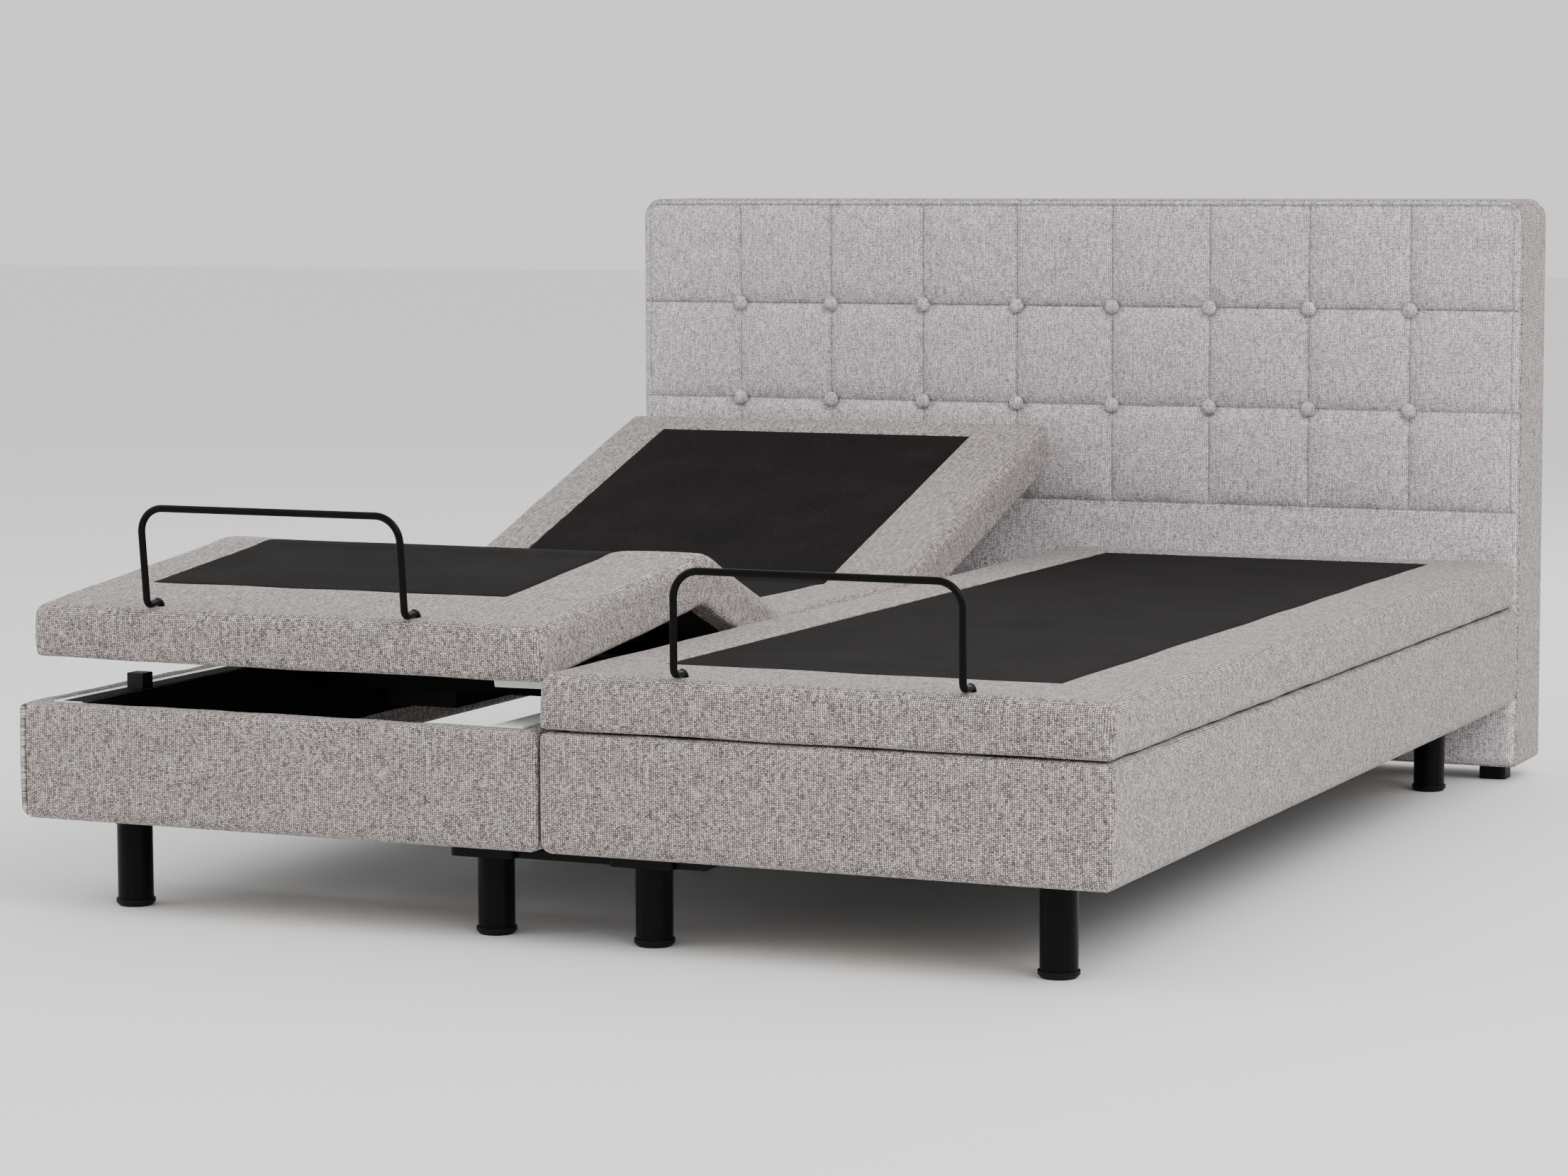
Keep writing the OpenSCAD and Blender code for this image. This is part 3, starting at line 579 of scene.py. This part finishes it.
def to_rest(p, side):
    """Moves points of a flat mat to where the stored pose has them."""
    back, thigh = rest_raise(f"{side}_back_raise"), rest_raise(f"{side}_thigh_raise")
    if back == 0 and thigh == 0:
        return p
    flat_y = p[:, 1]
    q = turn(p, BACK_Y, HINGE_Z, back, fold_weight(flat_y, BACK_Y, FOLD_HALF["back"]))
    below_knee = 1 - fold_weight(flat_y, KNEE_Y, FOLD_HALF["knee"])
    q = turn(q, KNEE_Y, HINGE_Z, KNEE_RATIO * thigh, below_knee)
    return turn(q, THIGH_Y, HINGE_Z, -thigh, 1 - fold_weight(flat_y, THIGH_Y, FOLD_HALF["thigh"]))


def rest_point(side, y, z=HINGE_Z):
    p = to_rest(np.array([[0.0, y, z]]), side)[0]
    return (0.0, float(p[1]), float(p[2]))


def panel_ends(side):
    return FOOT_Y + PANEL[side]["foot"], MAT_END - PANEL[side]["head"]


def panel_sides(side, y):
    """Both long edges of the black panel at places y along the mat; it is sewn in a little askew."""
    inner_foot, inner_head = PANEL[side]["inner"]
    outer_foot, outer_head = PANEL[side]["outer"]
    t = (y - FOOT_Y) / (MAT_END - FOOT_Y)
    inner = INNER_X + inner_foot + (inner_head - inner_foot) * t
    outer = OUTER_X - outer_foot - (outer_head - outer_foot) * t
    return inner, outer


def skewed(side, p):
    """Moves x so that columns laid out between the middle edges of the panel follow its skew."""
    x0, x1 = panel_sides(side, (FOOT_Y + MAT_END) / 2)
    e0, e1 = panel_sides(side, p[:, 1])
    outer_x = OUTER_X - MAT_INSET[side]
    q = p.copy()
    x = p[:, 0]
    low = INNER_X + (x - INNER_X) * (e0 - INNER_X) / (x0 - INNER_X)
    middle = e0 + (x - x0) * (e1 - e0) / (x1 - x0)
    high = outer_x - (outer_x - x) * (outer_x - e1) / (outer_x - x1)
    q[:, 0] = np.where(x < x0, low, np.where(x > x1, high, middle))
    return q


def from_panel(side, p):
    """Distance outside the black panel's edge, negative inside it."""
    e0, e1 = panel_sides(side, p[:, 1])
    y0, y1 = panel_ends(side)
    out_x = np.maximum(e0 - p[:, 0], p[:, 0] - e1)
    out_y = np.maximum(y0 - p[:, 1], p[:, 1] - y1)
    return np.maximum(out_x, out_y)


def mat_surface(p, side):
    """Crown of the borders, puffed sides and the dip under the black panel, on the flat mat."""
    q = p.copy()
    high = smooth_step((p[:, 2] - (MAT_TOP - 6 * MM)) / (6 * MM))
    out = from_panel(side, p)
    crown = 3.0 * MM * (1 - np.exp(-np.maximum(out, 0) / (9 * MM)))
    dip = 1.5 * MM * smooth_step(1 - np.clip(out + 2 * MM, 0, 4 * MM) / (4 * MM))
    slow = 0.7 * MM * waves(p[:, 0], p[:, 1], 0.16, 11 + len(side))
    q[:, 2] += high * (crown - 2 * MM - dip + slow * (out > 0))
    upright = 1 - high
    height = np.clip((p[:, 2] - MAT_LOW) / (MAT_TOP - MAT_LOW), 0, 1)
    bulge = 1.8 * MM * np.sin(math.pi * height) * upright
    sway = 0.8 * MM * waves(p[:, 1], p[:, 2] * 2, 0.12, 5 + len(side)) * upright
    at_outer = p[:, 0] > OUTER_X - MAT_INSET[side] - 1 * MM
    q[:, 0] += np.where(at_outer, bulge + sway, 0)
    at_foot = p[:, 1] < FOOT_Y + 1 * MM
    q[:, 1] -= np.where(at_foot, bulge + 0.5 * sway, 0)
    hem = smooth_step(1 - height / 0.2)
    q[:, 2] += 0.8 * MM * waves(p[:, 0] + p[:, 1], p[:, 1], 0.14, 3 + len(side)) * hem
    return q


def edge_distance(side, p):
    """How far points lie in from the nearest edge of the mat."""
    outer_x = OUTER_X - MAT_INSET[side]
    across = np.minimum(p[:, 0] - INNER_X, outer_x - p[:, 0])
    along = np.minimum(p[:, 1] - FOOT_Y, MAT_END - p[:, 1])
    return np.minimum(across, along)


def mat_piece(side, part, y_from, y_to):
    """One padded piece of a mat, from y_from to y_to, swollen and then put in the stored pose."""
    ends = (y_from == FOOT_Y, y_to == MAT_END)
    x0, x1 = panel_sides(side, (FOOT_Y + MAT_END) / 2)
    y0, y1 = panel_ends(side)
    outer_x = OUTER_X - MAT_INSET[side]
    xs = stations(INNER_X, outer_x, 0.016, (INNER_X, outer_x, x0, x1), 0.026, 0.0035)
    fine_y = [y for y in (FOOT_Y, MAT_END, y0, y1) if y_from <= y <= y_to]
    ys = stations(y_from, y_to, 0.010, fine_y, 0.026, 0.0035)
    zs = stations(MAT_LOW, MAT_TOP, 0.006, (MAT_LOW, MAT_TOP), 0.012, 0.0035)
    p, faces = grid_box(xs, ys, zs)
    p = skewed(side, p)
    at_bottom = p[faces][:, :, 2].max(1) < MAT_LOW + 1 * MM
    under = at_bottom & (edge_distance(side, p[faces].mean(1)) > LINING_EDGE)
    p = round_box(p, (INNER_X, y_from, MAT_LOW), (outer_x, y_to, MAT_TOP), 9 * MM, 17 * MM, ends)
    p = mat_surface(p, side)
    materials = [UPHOLSTERY, LINING]
    obj = piece(f"{side}_mat_{part}", p, faces, materials, p, under.astype(int), SIDES[side] < 0)
    sewn = (from_panel(side, p) < 1 * MM) | (p[:, 2] < MAT_LOW + 2 * MM)
    cut = np.zeros(len(p), bool)
    for y, rounded in zip((y_from, y_to), ends):
        if not rounded:
            cut |= np.abs(p[:, 1] - y) < 12 * MM
    inflate(obj, sewn | cut, 1.2, 4 * MM)
    set_points(obj, to_rest(points_of(obj), side))
    return obj


def grip_piece(side, part, y_from, y_to):
    """The black cloth let into the top, with its edges tucked down."""
    x0, x1 = panel_sides(side, (FOOT_Y + MAT_END) / 2)
    y0, y1 = panel_ends(side)
    y_from, y_to = max(y_from, y0), min(y_to, y1)
    xs = stations(x0, x1, 0.016, (x0, x1), 0.012, 0.004)
    ends = [y for y in (y0, y1) if y_from <= y <= y_to]
    ys = stations(y_from, y_to, 0.010, ends, 0.012, 0.004)
    top, low = MAT_TOP - 1.0 * MM, MAT_TOP - 6 * MM
    p, faces = grid_box(xs, ys, np.array([low, top]))
    p = skewed(side, p)
    edge = -from_panel(side, p)
    upper = p[:, 2] > low + 1 * MM
    tuck = 1.4 * MM * np.exp(-np.maximum(edge, 0) / (3 * MM))
    slow = 0.5 * MM * waves(p[:, 0], p[:, 1], 0.2, 23)
    p[:, 2] += np.where(upper, slow * (1 - np.exp(-edge / (20 * MM))) - tuck, 0)
    ragged = 0.6 * MM * waves(p[:, 1], p[:, 0], 0.05, 31)
    p[:, 0] += np.where(edge < 1 * MM, ragged, 0)
    obj = piece(f"{side}_grip_{part}", p, faces, [GRIP], p, mirror=SIDES[side] < 0)
    set_points(obj, to_rest(points_of(obj), side))
    return obj


# Each piece of a mat: from and to, the bodies it bends between, the place and name of its hinge,
# and the CAD pads that it stands for
MAT_PARTS = {
    "head": (SEAT_MID, MAT_END, "base", "{}_back", BACK_Y, "back", ("{}_seat_pad", "{}_back_pad")),
    "middle": (THIGH_MID, SEAT_MID, "{}_thigh", "base", THIGH_Y, "thigh", ("{}_seat_pad", "{}_thigh_pad")),
    "foot": (FOOT_Y, THIGH_MID, "{}_calf", "{}_thigh", KNEE_Y, "knee", ("{}_thigh_pad", "{}_calf_pad")),
}
for side in SIDES:
    for part, (y_from, y_to, body_a, body_b, at, hinge, nodes) in MAT_PARTS.items():
        half = FOLD_HALF[hinge]
        start, end = rest_point(side, at - half), rest_point(side, at + half)
        mat = mat_piece(side, part, y_from, y_to)
        grip = grip_piece(side, part, y_from, y_to)
        for obj in (mat, grip):
            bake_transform(obj)
        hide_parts(*[n.format(side) for n in nodes])

# ---------------------------------------------------------------- upholstered boxes

BOARD_T = node_low("right_leg_beams").x - INNER_X
# Radii of the covered boards: round the corners, at the upper and lower outer edges, and inside
CORNER_R = 0.009
TOP_R, LOW_R = 0.011, 0.018
TOP_INNER_R, LOW_INNER_R = 0.008, 0.007
# How far the upholstery is turned in over the boards' lower and upper edges, and how the lining lies on it
TURN_IN_LOW, TURN_IN_TOP = 0.045, 0.030
LINING_T, LINING_HEM = 0.001, 0.002
# How far the foam of a box bulges at its outer side, and above its boards where no section lies on it
SWELL = {"left": (6 * MM, 0.6 * MM), "right": (0.0, 0.0)}
# The side rails, and how much of the outer one its lining leaves bare
RAIL_INNER, RAIL_OUTER = node_low("right_seat_frame").x, node_high("right_seat_frame").x
LIP_GAP = node_low("right_side_rails").x - INNER_X - BOARD_T
RAIL_SHOWN = 0.014
LINING_LOW = 0.048
TAG_SIZE = (0.082, 0.022)
# How far the tag is from the foot end and from the inner side
TAG_BACK, TAG_IN = 0.040, 0.012


def arc(cx, cz, r, a0, a1, n):
    return [(cx + r * math.cos(a), cz + r * math.sin(a)) for a in np.linspace(a0, a1, n)]


def board_section():
    """Outline of a covered board as (distance in from the outer face, height), and what is lined."""
    q = math.pi / 2
    outer = [(0.0, z) for z in np.linspace(BOX_LOW + LOW_R, BOX_TOP - TOP_R, 16)]
    top = arc(TOP_R, BOX_TOP - TOP_R, TOP_R, 2 * q, q, 6)[1:]
    top += arc(BOARD_T - TOP_INNER_R, BOX_TOP - TOP_INNER_R, TOP_INNER_R, q, 0, 5)
    hem_top, hem_low = BOX_TOP - TURN_IN_TOP, BOX_LOW + TURN_IN_LOW
    lining_top, lining_low = hem_top - LINING_HEM, hem_low + LINING_HEM
    lining_d = BOARD_T + LINING_T
    inner = [(BOARD_T, z) for z in np.linspace(BOX_TOP - 0.014, hem_top + 0.004, 3)]
    inner += [(BOARD_T, hem_top), (lining_d, lining_top)]
    inner += [(lining_d, z) for z in np.linspace(lining_top - 0.01, lining_low + 0.01, 6)]
    inner += [(lining_d, lining_low), (BOARD_T, hem_low)]
    low = arc(BOARD_T - LOW_INNER_R, BOX_LOW + LOW_INNER_R, LOW_INNER_R, 0, -q, 4)
    low += arc(LOW_R, BOX_LOW + LOW_R, LOW_R, -q, -2 * q, 7)[:-1]
    section = outer + top + inner + low
    lined = [abs(d - BOARD_T - LINING_T) < 1e-9 for d, _ in section]
    return section, lined


def ring_stations():
    """Places round the box: a centre, the outward direction there, and whether it is on a corner."""
    x0, x1 = INNER_X + CORNER_R, OUTER_X - CORNER_R
    y0, y1 = FOOT_Y + CORNER_R, HEAD_Y - CORNER_R
    corners = [((x1, y0), -90), ((x1, y1), 0), ((x0, y1), 90), ((x0, y0), 180)]
    rows = []
    for i, ((cx, cy), a0) in enumerate(corners):
        for a in np.radians(np.linspace(a0, a0 + 90, 7)):
            rows.append((cx, cy, math.cos(a), math.sin(a), True))
        (nx, ny), _ = corners[(i + 1) % 4]
        a = math.radians(a0 + 90)
        count = int(math.hypot(nx - cx, ny - cy) / 0.02)
        for t in np.linspace(0, 1, count + 1)[1:-1]:
            rows.append((cx + (nx - cx) * t, cy + (ny - cy) * t, math.cos(a), math.sin(a), False))
    return rows


def ring_point(row, depth, z):
    """The point at a depth in from the outer face; behind a round corner the inner faces meet squarely."""
    cx, cy, dx, dy, corner = row
    out = CORNER_R - depth
    if corner and out < 0:
        dx = math.copysign(1, cx - (INNER_X + OUTER_X) / 2)
        dy = math.copysign(1, cy - (FOOT_Y + HEAD_Y) / 2)
    return (cx + dx * out, cy + dy * out, z)


def ring_faces(p, n, lined):
    """Quads between n sections in a ring, without those that fall together, and which are lining."""
    m = len(lined)
    faces, materials = [], []
    for i in range(n):
        j = (i + 1) % n
        for k in range(m):
            up = (k + 1) % m
            quad = [i * m + k, j * m + k, j * m + up, i * m + up]
            if len({tuple(np.round(p[v], 7)) for v in quad}) < 3:
                continue
            faces.append(quad)
            materials.append(1 if lined[k] and lined[up] else 0)
    return faces, materials


def under_seat(p):
    return (p[:, 1] > THIGH_Y) & (p[:, 1] < BACK_Y)


def swollen(side, p, rows, section):
    """Puffs out a box's outer faces, creases them under the top edge, and makes the top uneven."""
    side_swell, top_swell = SWELL[side]
    sag = waves(p[:, 0] * 2 + p[:, 1], p[:, 1] - p[:, 0], 0.15, 41)
    q = p.copy()
    q[:, 2] += np.where(p[:, 2] > BOX_TOP - 3 * MM, -0.9 * MM + 0.8 * MM * sag, 0)
    height = (p[:, 2] - BOX_LOW) / (BOX_TOP - BOX_LOW)
    outer = np.tile(np.array([max(1 - d / LOW_R, 0.0) for d, _ in section]), len(rows))
    normal = np.repeat(np.array([(dx, dy) for _, _, dx, dy, _ in rows]), len(section), axis=0)
    puff = outer * (1.2 * MM * np.sin(math.pi * np.clip(height, 0, 1)) + 0.5 * MM * sag)
    crease = outer * 0.9 * MM * np.exp(-(((p[:, 2] - (BOX_TOP - 17 * MM)) / (3 * MM)) ** 2))
    near_top = smooth_step((p[:, 2] - (BOX_TOP - 20 * MM)) / (20 * MM))
    q[:, 2] += top_swell * near_top * np.where(under_seat(p), 0, 1)
    puff += outer * side_swell * np.where(normal[:, 0] > 0.5, 1, 0)
    facing_gap = normal[:, 0] < -0.5
    q[:, 0] += normal[:, 0] * np.where(facing_gap, 0, puff - crease)
    q[:, 1] += normal[:, 1] * (puff - crease)
    return q


def weld(obj):
    bm = bmesh.new()
    bm.from_mesh(obj.data)
    bmesh.ops.remove_doubles(bm, verts=bm.verts, dist=1e-6)
    bmesh.ops.recalc_face_normals(bm, faces=bm.faces)
    bm.to_mesh(obj.data)
    bm.free()


def box_cover(side):
    """The upholstery of one box, in one piece round its four boards."""
    section, lined = board_section()
    rows = ring_stations()
    p = np.array([ring_point(row, d, z) for row in rows for d, z in section])
    faces, materials = ring_faces(p, len(rows), lined)
    q = swollen(side, p, rows, section)
    obj = piece(f"{side}_box_cover", q, faces, [UPHOLSTERY, LINING], p, materials, SIDES[side] < 0)
    weld(obj)
    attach(obj, "base")
    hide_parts(f"{side}_side_boards", f"{side}_end_boards")


def side_lining(side, name, x):
    """Black cloth that closes the inside of a box along one side rail, stapled at its upper edge."""
    y0, y1 = FOOT_Y + BOARD_T + 2 * MM, HEAD_Y - BOARD_T - 2 * MM
    z0, z1 = BOX_LOW + LINING_LOW, BOX_TOP - 1.5 * MM
    ys, zs = stations(y0, y1, 0.02), stations(z0, z1, 0.012)
    p, faces = grid_box(np.array([x - 0.6 * MM, x + 0.6 * MM]), ys, zs)
    loose = smooth_step((z1 - p[:, 2]) / (z1 - z0))
    sway = 3 * MM * waves(p[:, 1], p[:, 2], 0.35, 60) * loose
    p[:, 0] += np.where(x < (INNER_X + OUTER_X) / 2, np.abs(sway), -np.abs(sway))
    p[:, 2] += 2 * MM * waves(p[:, 1], p[:, 0], 0.2, 61) * loose
    obj = piece(f"{side}_{name}_lining", p, faces, [LINING], mirror=SIDES[side] < 0)
    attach(obj, "base")


def rail_lining(side):
    """Black cloth over the inner part of the outer side rail, which leaves the rail's lip bare."""
    x_from, x_to = RAIL_OUTER - 1 * MM, OUTER_X - BOARD_T - LIP_GAP - RAIL_SHOWN
    xs = stations(x_from, x_to, 0.006)
    ys = stations(FOOT_Y + BOARD_T + 1 * MM, HEAD_Y - BOARD_T - 1 * MM, 0.03)
    p, faces = grid_box(xs, ys, np.array([BOX_TOP - 0.9 * MM, BOX_TOP + 0.2 * MM]))
    p[:, 2] += 0.1 * MM * waves(p[:, 0], p[:, 1], 0.09, 62)
    obj = piece(f"{side}_rail_lining", p, faces, [LINING], mirror=SIDES[side] < 0)
    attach(obj, "base")


def blank_tag():
    """A blank pale tag sewn under the foot edge of the raised calf section."""
    xs = stations(INNER_X + TAG_IN, INNER_X + TAG_IN + TAG_SIZE[0], 0.006)
    zs = stations(MAT_LOW + 0.004 - TAG_SIZE[1], MAT_LOW + 0.004, 0.004)
    y = FOOT_Y + TAG_BACK
    p, faces = grid_box(xs, np.array([y - 0.25 * MM, y + 0.25 * MM]), zs)
    drop = (zs[-1] - p[:, 2]) / TAG_SIZE[1]
    p[:, 1] += 3 * MM * drop**2 + 0.8 * MM * np.sin((p[:, 0] - xs[0]) * 70) * drop
    flat = p.copy()
    obj = piece("left_blank_tag", to_rest(p, "left"), faces, [PALE_TAG], flat, mirror=True)
    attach(obj, "left_calf")


blank_tag()
for side in SIDES:
    box_cover(side)
    side_lining(side, "inner", RAIL_INNER + 1.0 * MM)
    side_lining(side, "outer", RAIL_OUTER - 1.0 * MM)
    rail_lining(side)

# ---------------------------------------------------------------- headboard

# Radii of the upper corners and of the edges, and how far the quilted squares stand out
HB_R = 0.032
EDGE_R = 0.010
PUFF = 0.011
# The slope beside a seam, the groove of its thread, the dimple of a button and the pleats round it
SEAM_SLOPE = 0.016
GROOVE_W, GROOVE_DEPTH = 0.0022, 0.0022
DIMPLE_R, DIMPLE_DEPTH = 0.022, 0.006
PLEATS, PLEAT_REACH, PLEAT_HEIGHT = 8, 0.014, 0.0006
# How far the front lies back at its rim, and over what distance the tufting starts
RIM_BACK, RIM_FADE = 0.004, 0.012


def tufting(x, z):
    """How far the front stands out from the seams, and how deep the seams and buttons pull in."""
    columns = np.array([-HB_X] + COLUMNS + [HB_X])
    rows = np.array([LOW_SEAM] + ROW_Z[::-1] + [TOP_SEAM])
    quilted = z > LOW_SEAM
    to_column = np.abs(x[:, None] - columns).min(1)
    to_row = np.abs(z[:, None] - rows).min(1)
    to_column = np.where(quilted, to_column, 1.0)
    rise = (1 - np.exp(-to_column / SEAM_SLOPE)) * (1 - np.exp(-to_row / SEAM_SLOPE))
    groove = np.exp(-((to_column / GROOVE_W) ** 2)) + np.exp(-((to_row / GROOVE_W) ** 2))
    buttons = np.array([(c, r) for c in COLUMNS for r in ROW_Z])
    to_button = np.hypot(x[:, None] - buttons[:, 0], z[:, None] - buttons[:, 1])
    nearest = to_button.min(1)
    pull = np.exp(-((nearest / DIMPLE_R) ** 2))
    which = to_button.argmin(1)
    angle = np.arctan2(z - buttons[which, 1], x - buttons[which, 0])
    pleats = np.cos(PLEATS * angle) * np.exp(-(((nearest - DIMPLE_R) / PLEAT_REACH) ** 2))
    sewn_in = GROOVE_DEPTH * np.minimum(groove, 1.3)
    return PUFF * rise - sewn_in - DIMPLE_DEPTH * pull + PLEAT_HEIGHT * pleats


def headboard_cover():
    """The upholstery of the headboard, with its tufted front swollen between the seams."""
    low = np.array([-HB_X, HB_LOW.y, HB_LOW.z])
    high = np.array([HB_X, HB_HIGH.y, HB_HIGH.z])
    xs = stations(low[0], high[0], 0.014, [low[0], high[0]] + COLUMNS, 0.030, 0.0028)
    zs = stations(low[2], high[2], 0.014, [low[2], high[2], LOW_SEAM] + ROW_Z, 0.030, 0.0028)
    ys = stations(low[1], high[1], 0.020, (low[1], high[1]), 0.012, 0.003)
    p, faces = grid_box(xs, ys, zs)
    front = p[:, 1] < low[1] + 1e-6
    p = round_box(p, low, high, EDGE_R, EDGE_R)
    flat = p.copy()
    corner_x, corner_z = HB_X - HB_R, high[2] - HB_R
    dx, dz = np.abs(p[:, 0]) - corner_x, p[:, 2] - corner_z
    inside = (dx > 0) & (dz > 0)
    shrink = np.maximum(dx, dz) / np.maximum(np.hypot(dx, dz), 1e-9)
    p[inside, 0] = np.sign(p[inside, 0]) * (corner_x + dx[inside] * shrink[inside])
    p[inside, 2] = corner_z + dz[inside] * shrink[inside]
    margin = np.minimum(HB_X - np.abs(p[:, 0]), np.minimum(high[2] - p[:, 2], p[:, 2] - low[2]))
    fade = smooth_step((margin - 0.004) / RIM_FADE)
    p[:, 1] += np.where(front, fade * (RIM_BACK - tufting(p[:, 0], p[:, 2])), 0)
    p[:, 1] += np.where(front, fade * 0.0006 * waves(p[:, 0], p[:, 2], 0.09, 77), 0)
    is_front = (flat[faces][:, :, 1].max(1) < low[1] + 2 * MM).astype(int)
    obj = piece("headboard_cover", p, faces, [UPHOLSTERY, QUILTED], flat, is_front)
    to_column = np.abs(flat[:, 0][:, None] - np.array(COLUMNS)).min(1)
    to_row = np.abs(flat[:, 2][:, None] - np.array(ROW_Z + [LOW_SEAM, TOP_SEAM])).min(1)
    sewn = (to_row < 3 * MM) | ((to_column < 3 * MM) & (flat[:, 2] > LOW_SEAM))
    inflate(obj, sewn | ~front | (margin < 14 * MM), 1.5, 5 * MM)
    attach(obj, "base")
    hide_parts("headboard_cushion", "headboard_core")


def dome(radius, height, rings, around):
    """Points and faces of a round cap along -y with its rim turned back, centred at the origin."""
    profile = [(radius * math.sin(a), -height * math.cos(a)) for a in np.linspace(0.12, math.pi / 2, rings)]
    profile += [(radius * 0.96, height * 0.3), (radius * 0.7, height * 0.45)]
    points = [(0, -height, 0)]
    angles = np.linspace(0, 2 * math.pi, around + 1)[:-1]
    for r, y in profile:
        points += [(r * math.cos(t), y, r * math.sin(t)) for t in angles]
    faces = [[0, 1 + k, 1 + (k + 1) % around] for k in range(around)]
    for i in range(len(profile) - 1):
        a, b = 1 + i * around, 1 + (i + 1) * around
        for k in range(around):
            faces.append([a + k, b + k, b + (k + 1) % around, a + (k + 1) % around])
    faces.append([1 + (len(profile) - 1) * around + k for k in range(around)][::-1])
    return np.array(points), faces


BUTTON_TILT = 0.06


def buttons():
    """Covered buttons, each a little different in its seat."""
    one, one_faces = dome(12.5 * MM, 7.5 * MM, 8, 28)
    points, faces = [], []
    rng = np.random.default_rng(9)
    for x in COLUMNS:
        for z in ROW_Z:
            about_x = Matrix.Rotation(rng.uniform(-BUTTON_TILT, BUTTON_TILT), 3, "X")
            about_z = Matrix.Rotation(rng.uniform(-BUTTON_TILT, BUTTON_TILT), 3, "Z")
            tilt = about_x @ about_z
            start = sum(len(q) for q in points)
            points.append(one @ np.array(tilt).T + np.array([x, HB_LOW.y + 1.5 * MM, z]))
            faces += [[start + i for i in f] for f in one_faces]
    obj = piece("headboard_button_covers", np.concatenate(points), faces, [HEADBOARD])
    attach(obj, "base")
    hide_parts("headboard_buttons")


headboard_cover()
buttons()

# ---------------------------------------------------------------- stage, light and camera


def stage():
    mesh = bpy.data.meshes.new("floor")
    mesh.from_pydata([(-30, -30, 0), (30, -30, 0), (30, 30, 0), (-30, 30, 0)], [], [(0, 1, 2, 3)])
    floor = bpy.data.objects.new("floor", mesh)
    bpy.context.scene.collection.objects.link(floor)
    n = Nodes("pale_floor")
    floor.data.materials.append(n.finish((0.86, 0.86, 0.86, 1), 0.8))
    world = bpy.data.worlds.new("soft_sky")
    world.use_nodes = True
    world.node_tree.nodes["Background"].inputs["Color"].default_value = (1, 1, 1, 1)
    world.node_tree.nodes["Background"].inputs["Strength"].default_value = 1.1
    bpy.context.scene.world = world


def area_light(name, place, target, size, power):
    data = bpy.data.lights.new(name, "AREA")
    data.energy = power
    data.size = size
    lamp = bpy.data.objects.new(name, data)
    lamp.location = place
    lamp.rotation_euler = (Vector(target) - Vector(place)).to_track_quat("-Z", "Y").to_euler()
    bpy.context.scene.collection.objects.link(lamp)


CAMERA_PLACE = (2.5484, -6.0072, 1.0396)
# The turn from the room to the camera, as an axis as long as its angle in radians
CAMERA_AIM = (1.645, 0.346, -0.318)
LENS = 98.1


def camera():
    data = bpy.data.cameras.new("camera")
    data.sensor_width = 36
    data.lens = LENS
    cam = bpy.data.objects.new("camera", data)
    spin = Vector(CAMERA_AIM)
    to_camera = Matrix.Rotation(spin.length, 3, spin)
    right, down, forward = to_camera
    turn_to = Matrix((right, -down, -forward)).transposed().to_4x4()
    cam.matrix_world = Matrix.Translation(CAMERA_PLACE) @ turn_to
    bpy.context.scene.collection.objects.link(cam)
    bpy.context.scene.camera = cam


stage()
LIT_PLACE = (0, 0, 0.4)
LIGHT_SIZE = 4.0
area_light("key", (4.5, -3.0, 4.5), LIT_PLACE, LIGHT_SIZE, 330)
area_light("fill", (-4.5, -3.0, 3.0), LIT_PLACE, LIGHT_SIZE, 90)
area_light("rim", (1.0, 4.5, 4.0), LIT_PLACE, LIGHT_SIZE, 100)
camera()
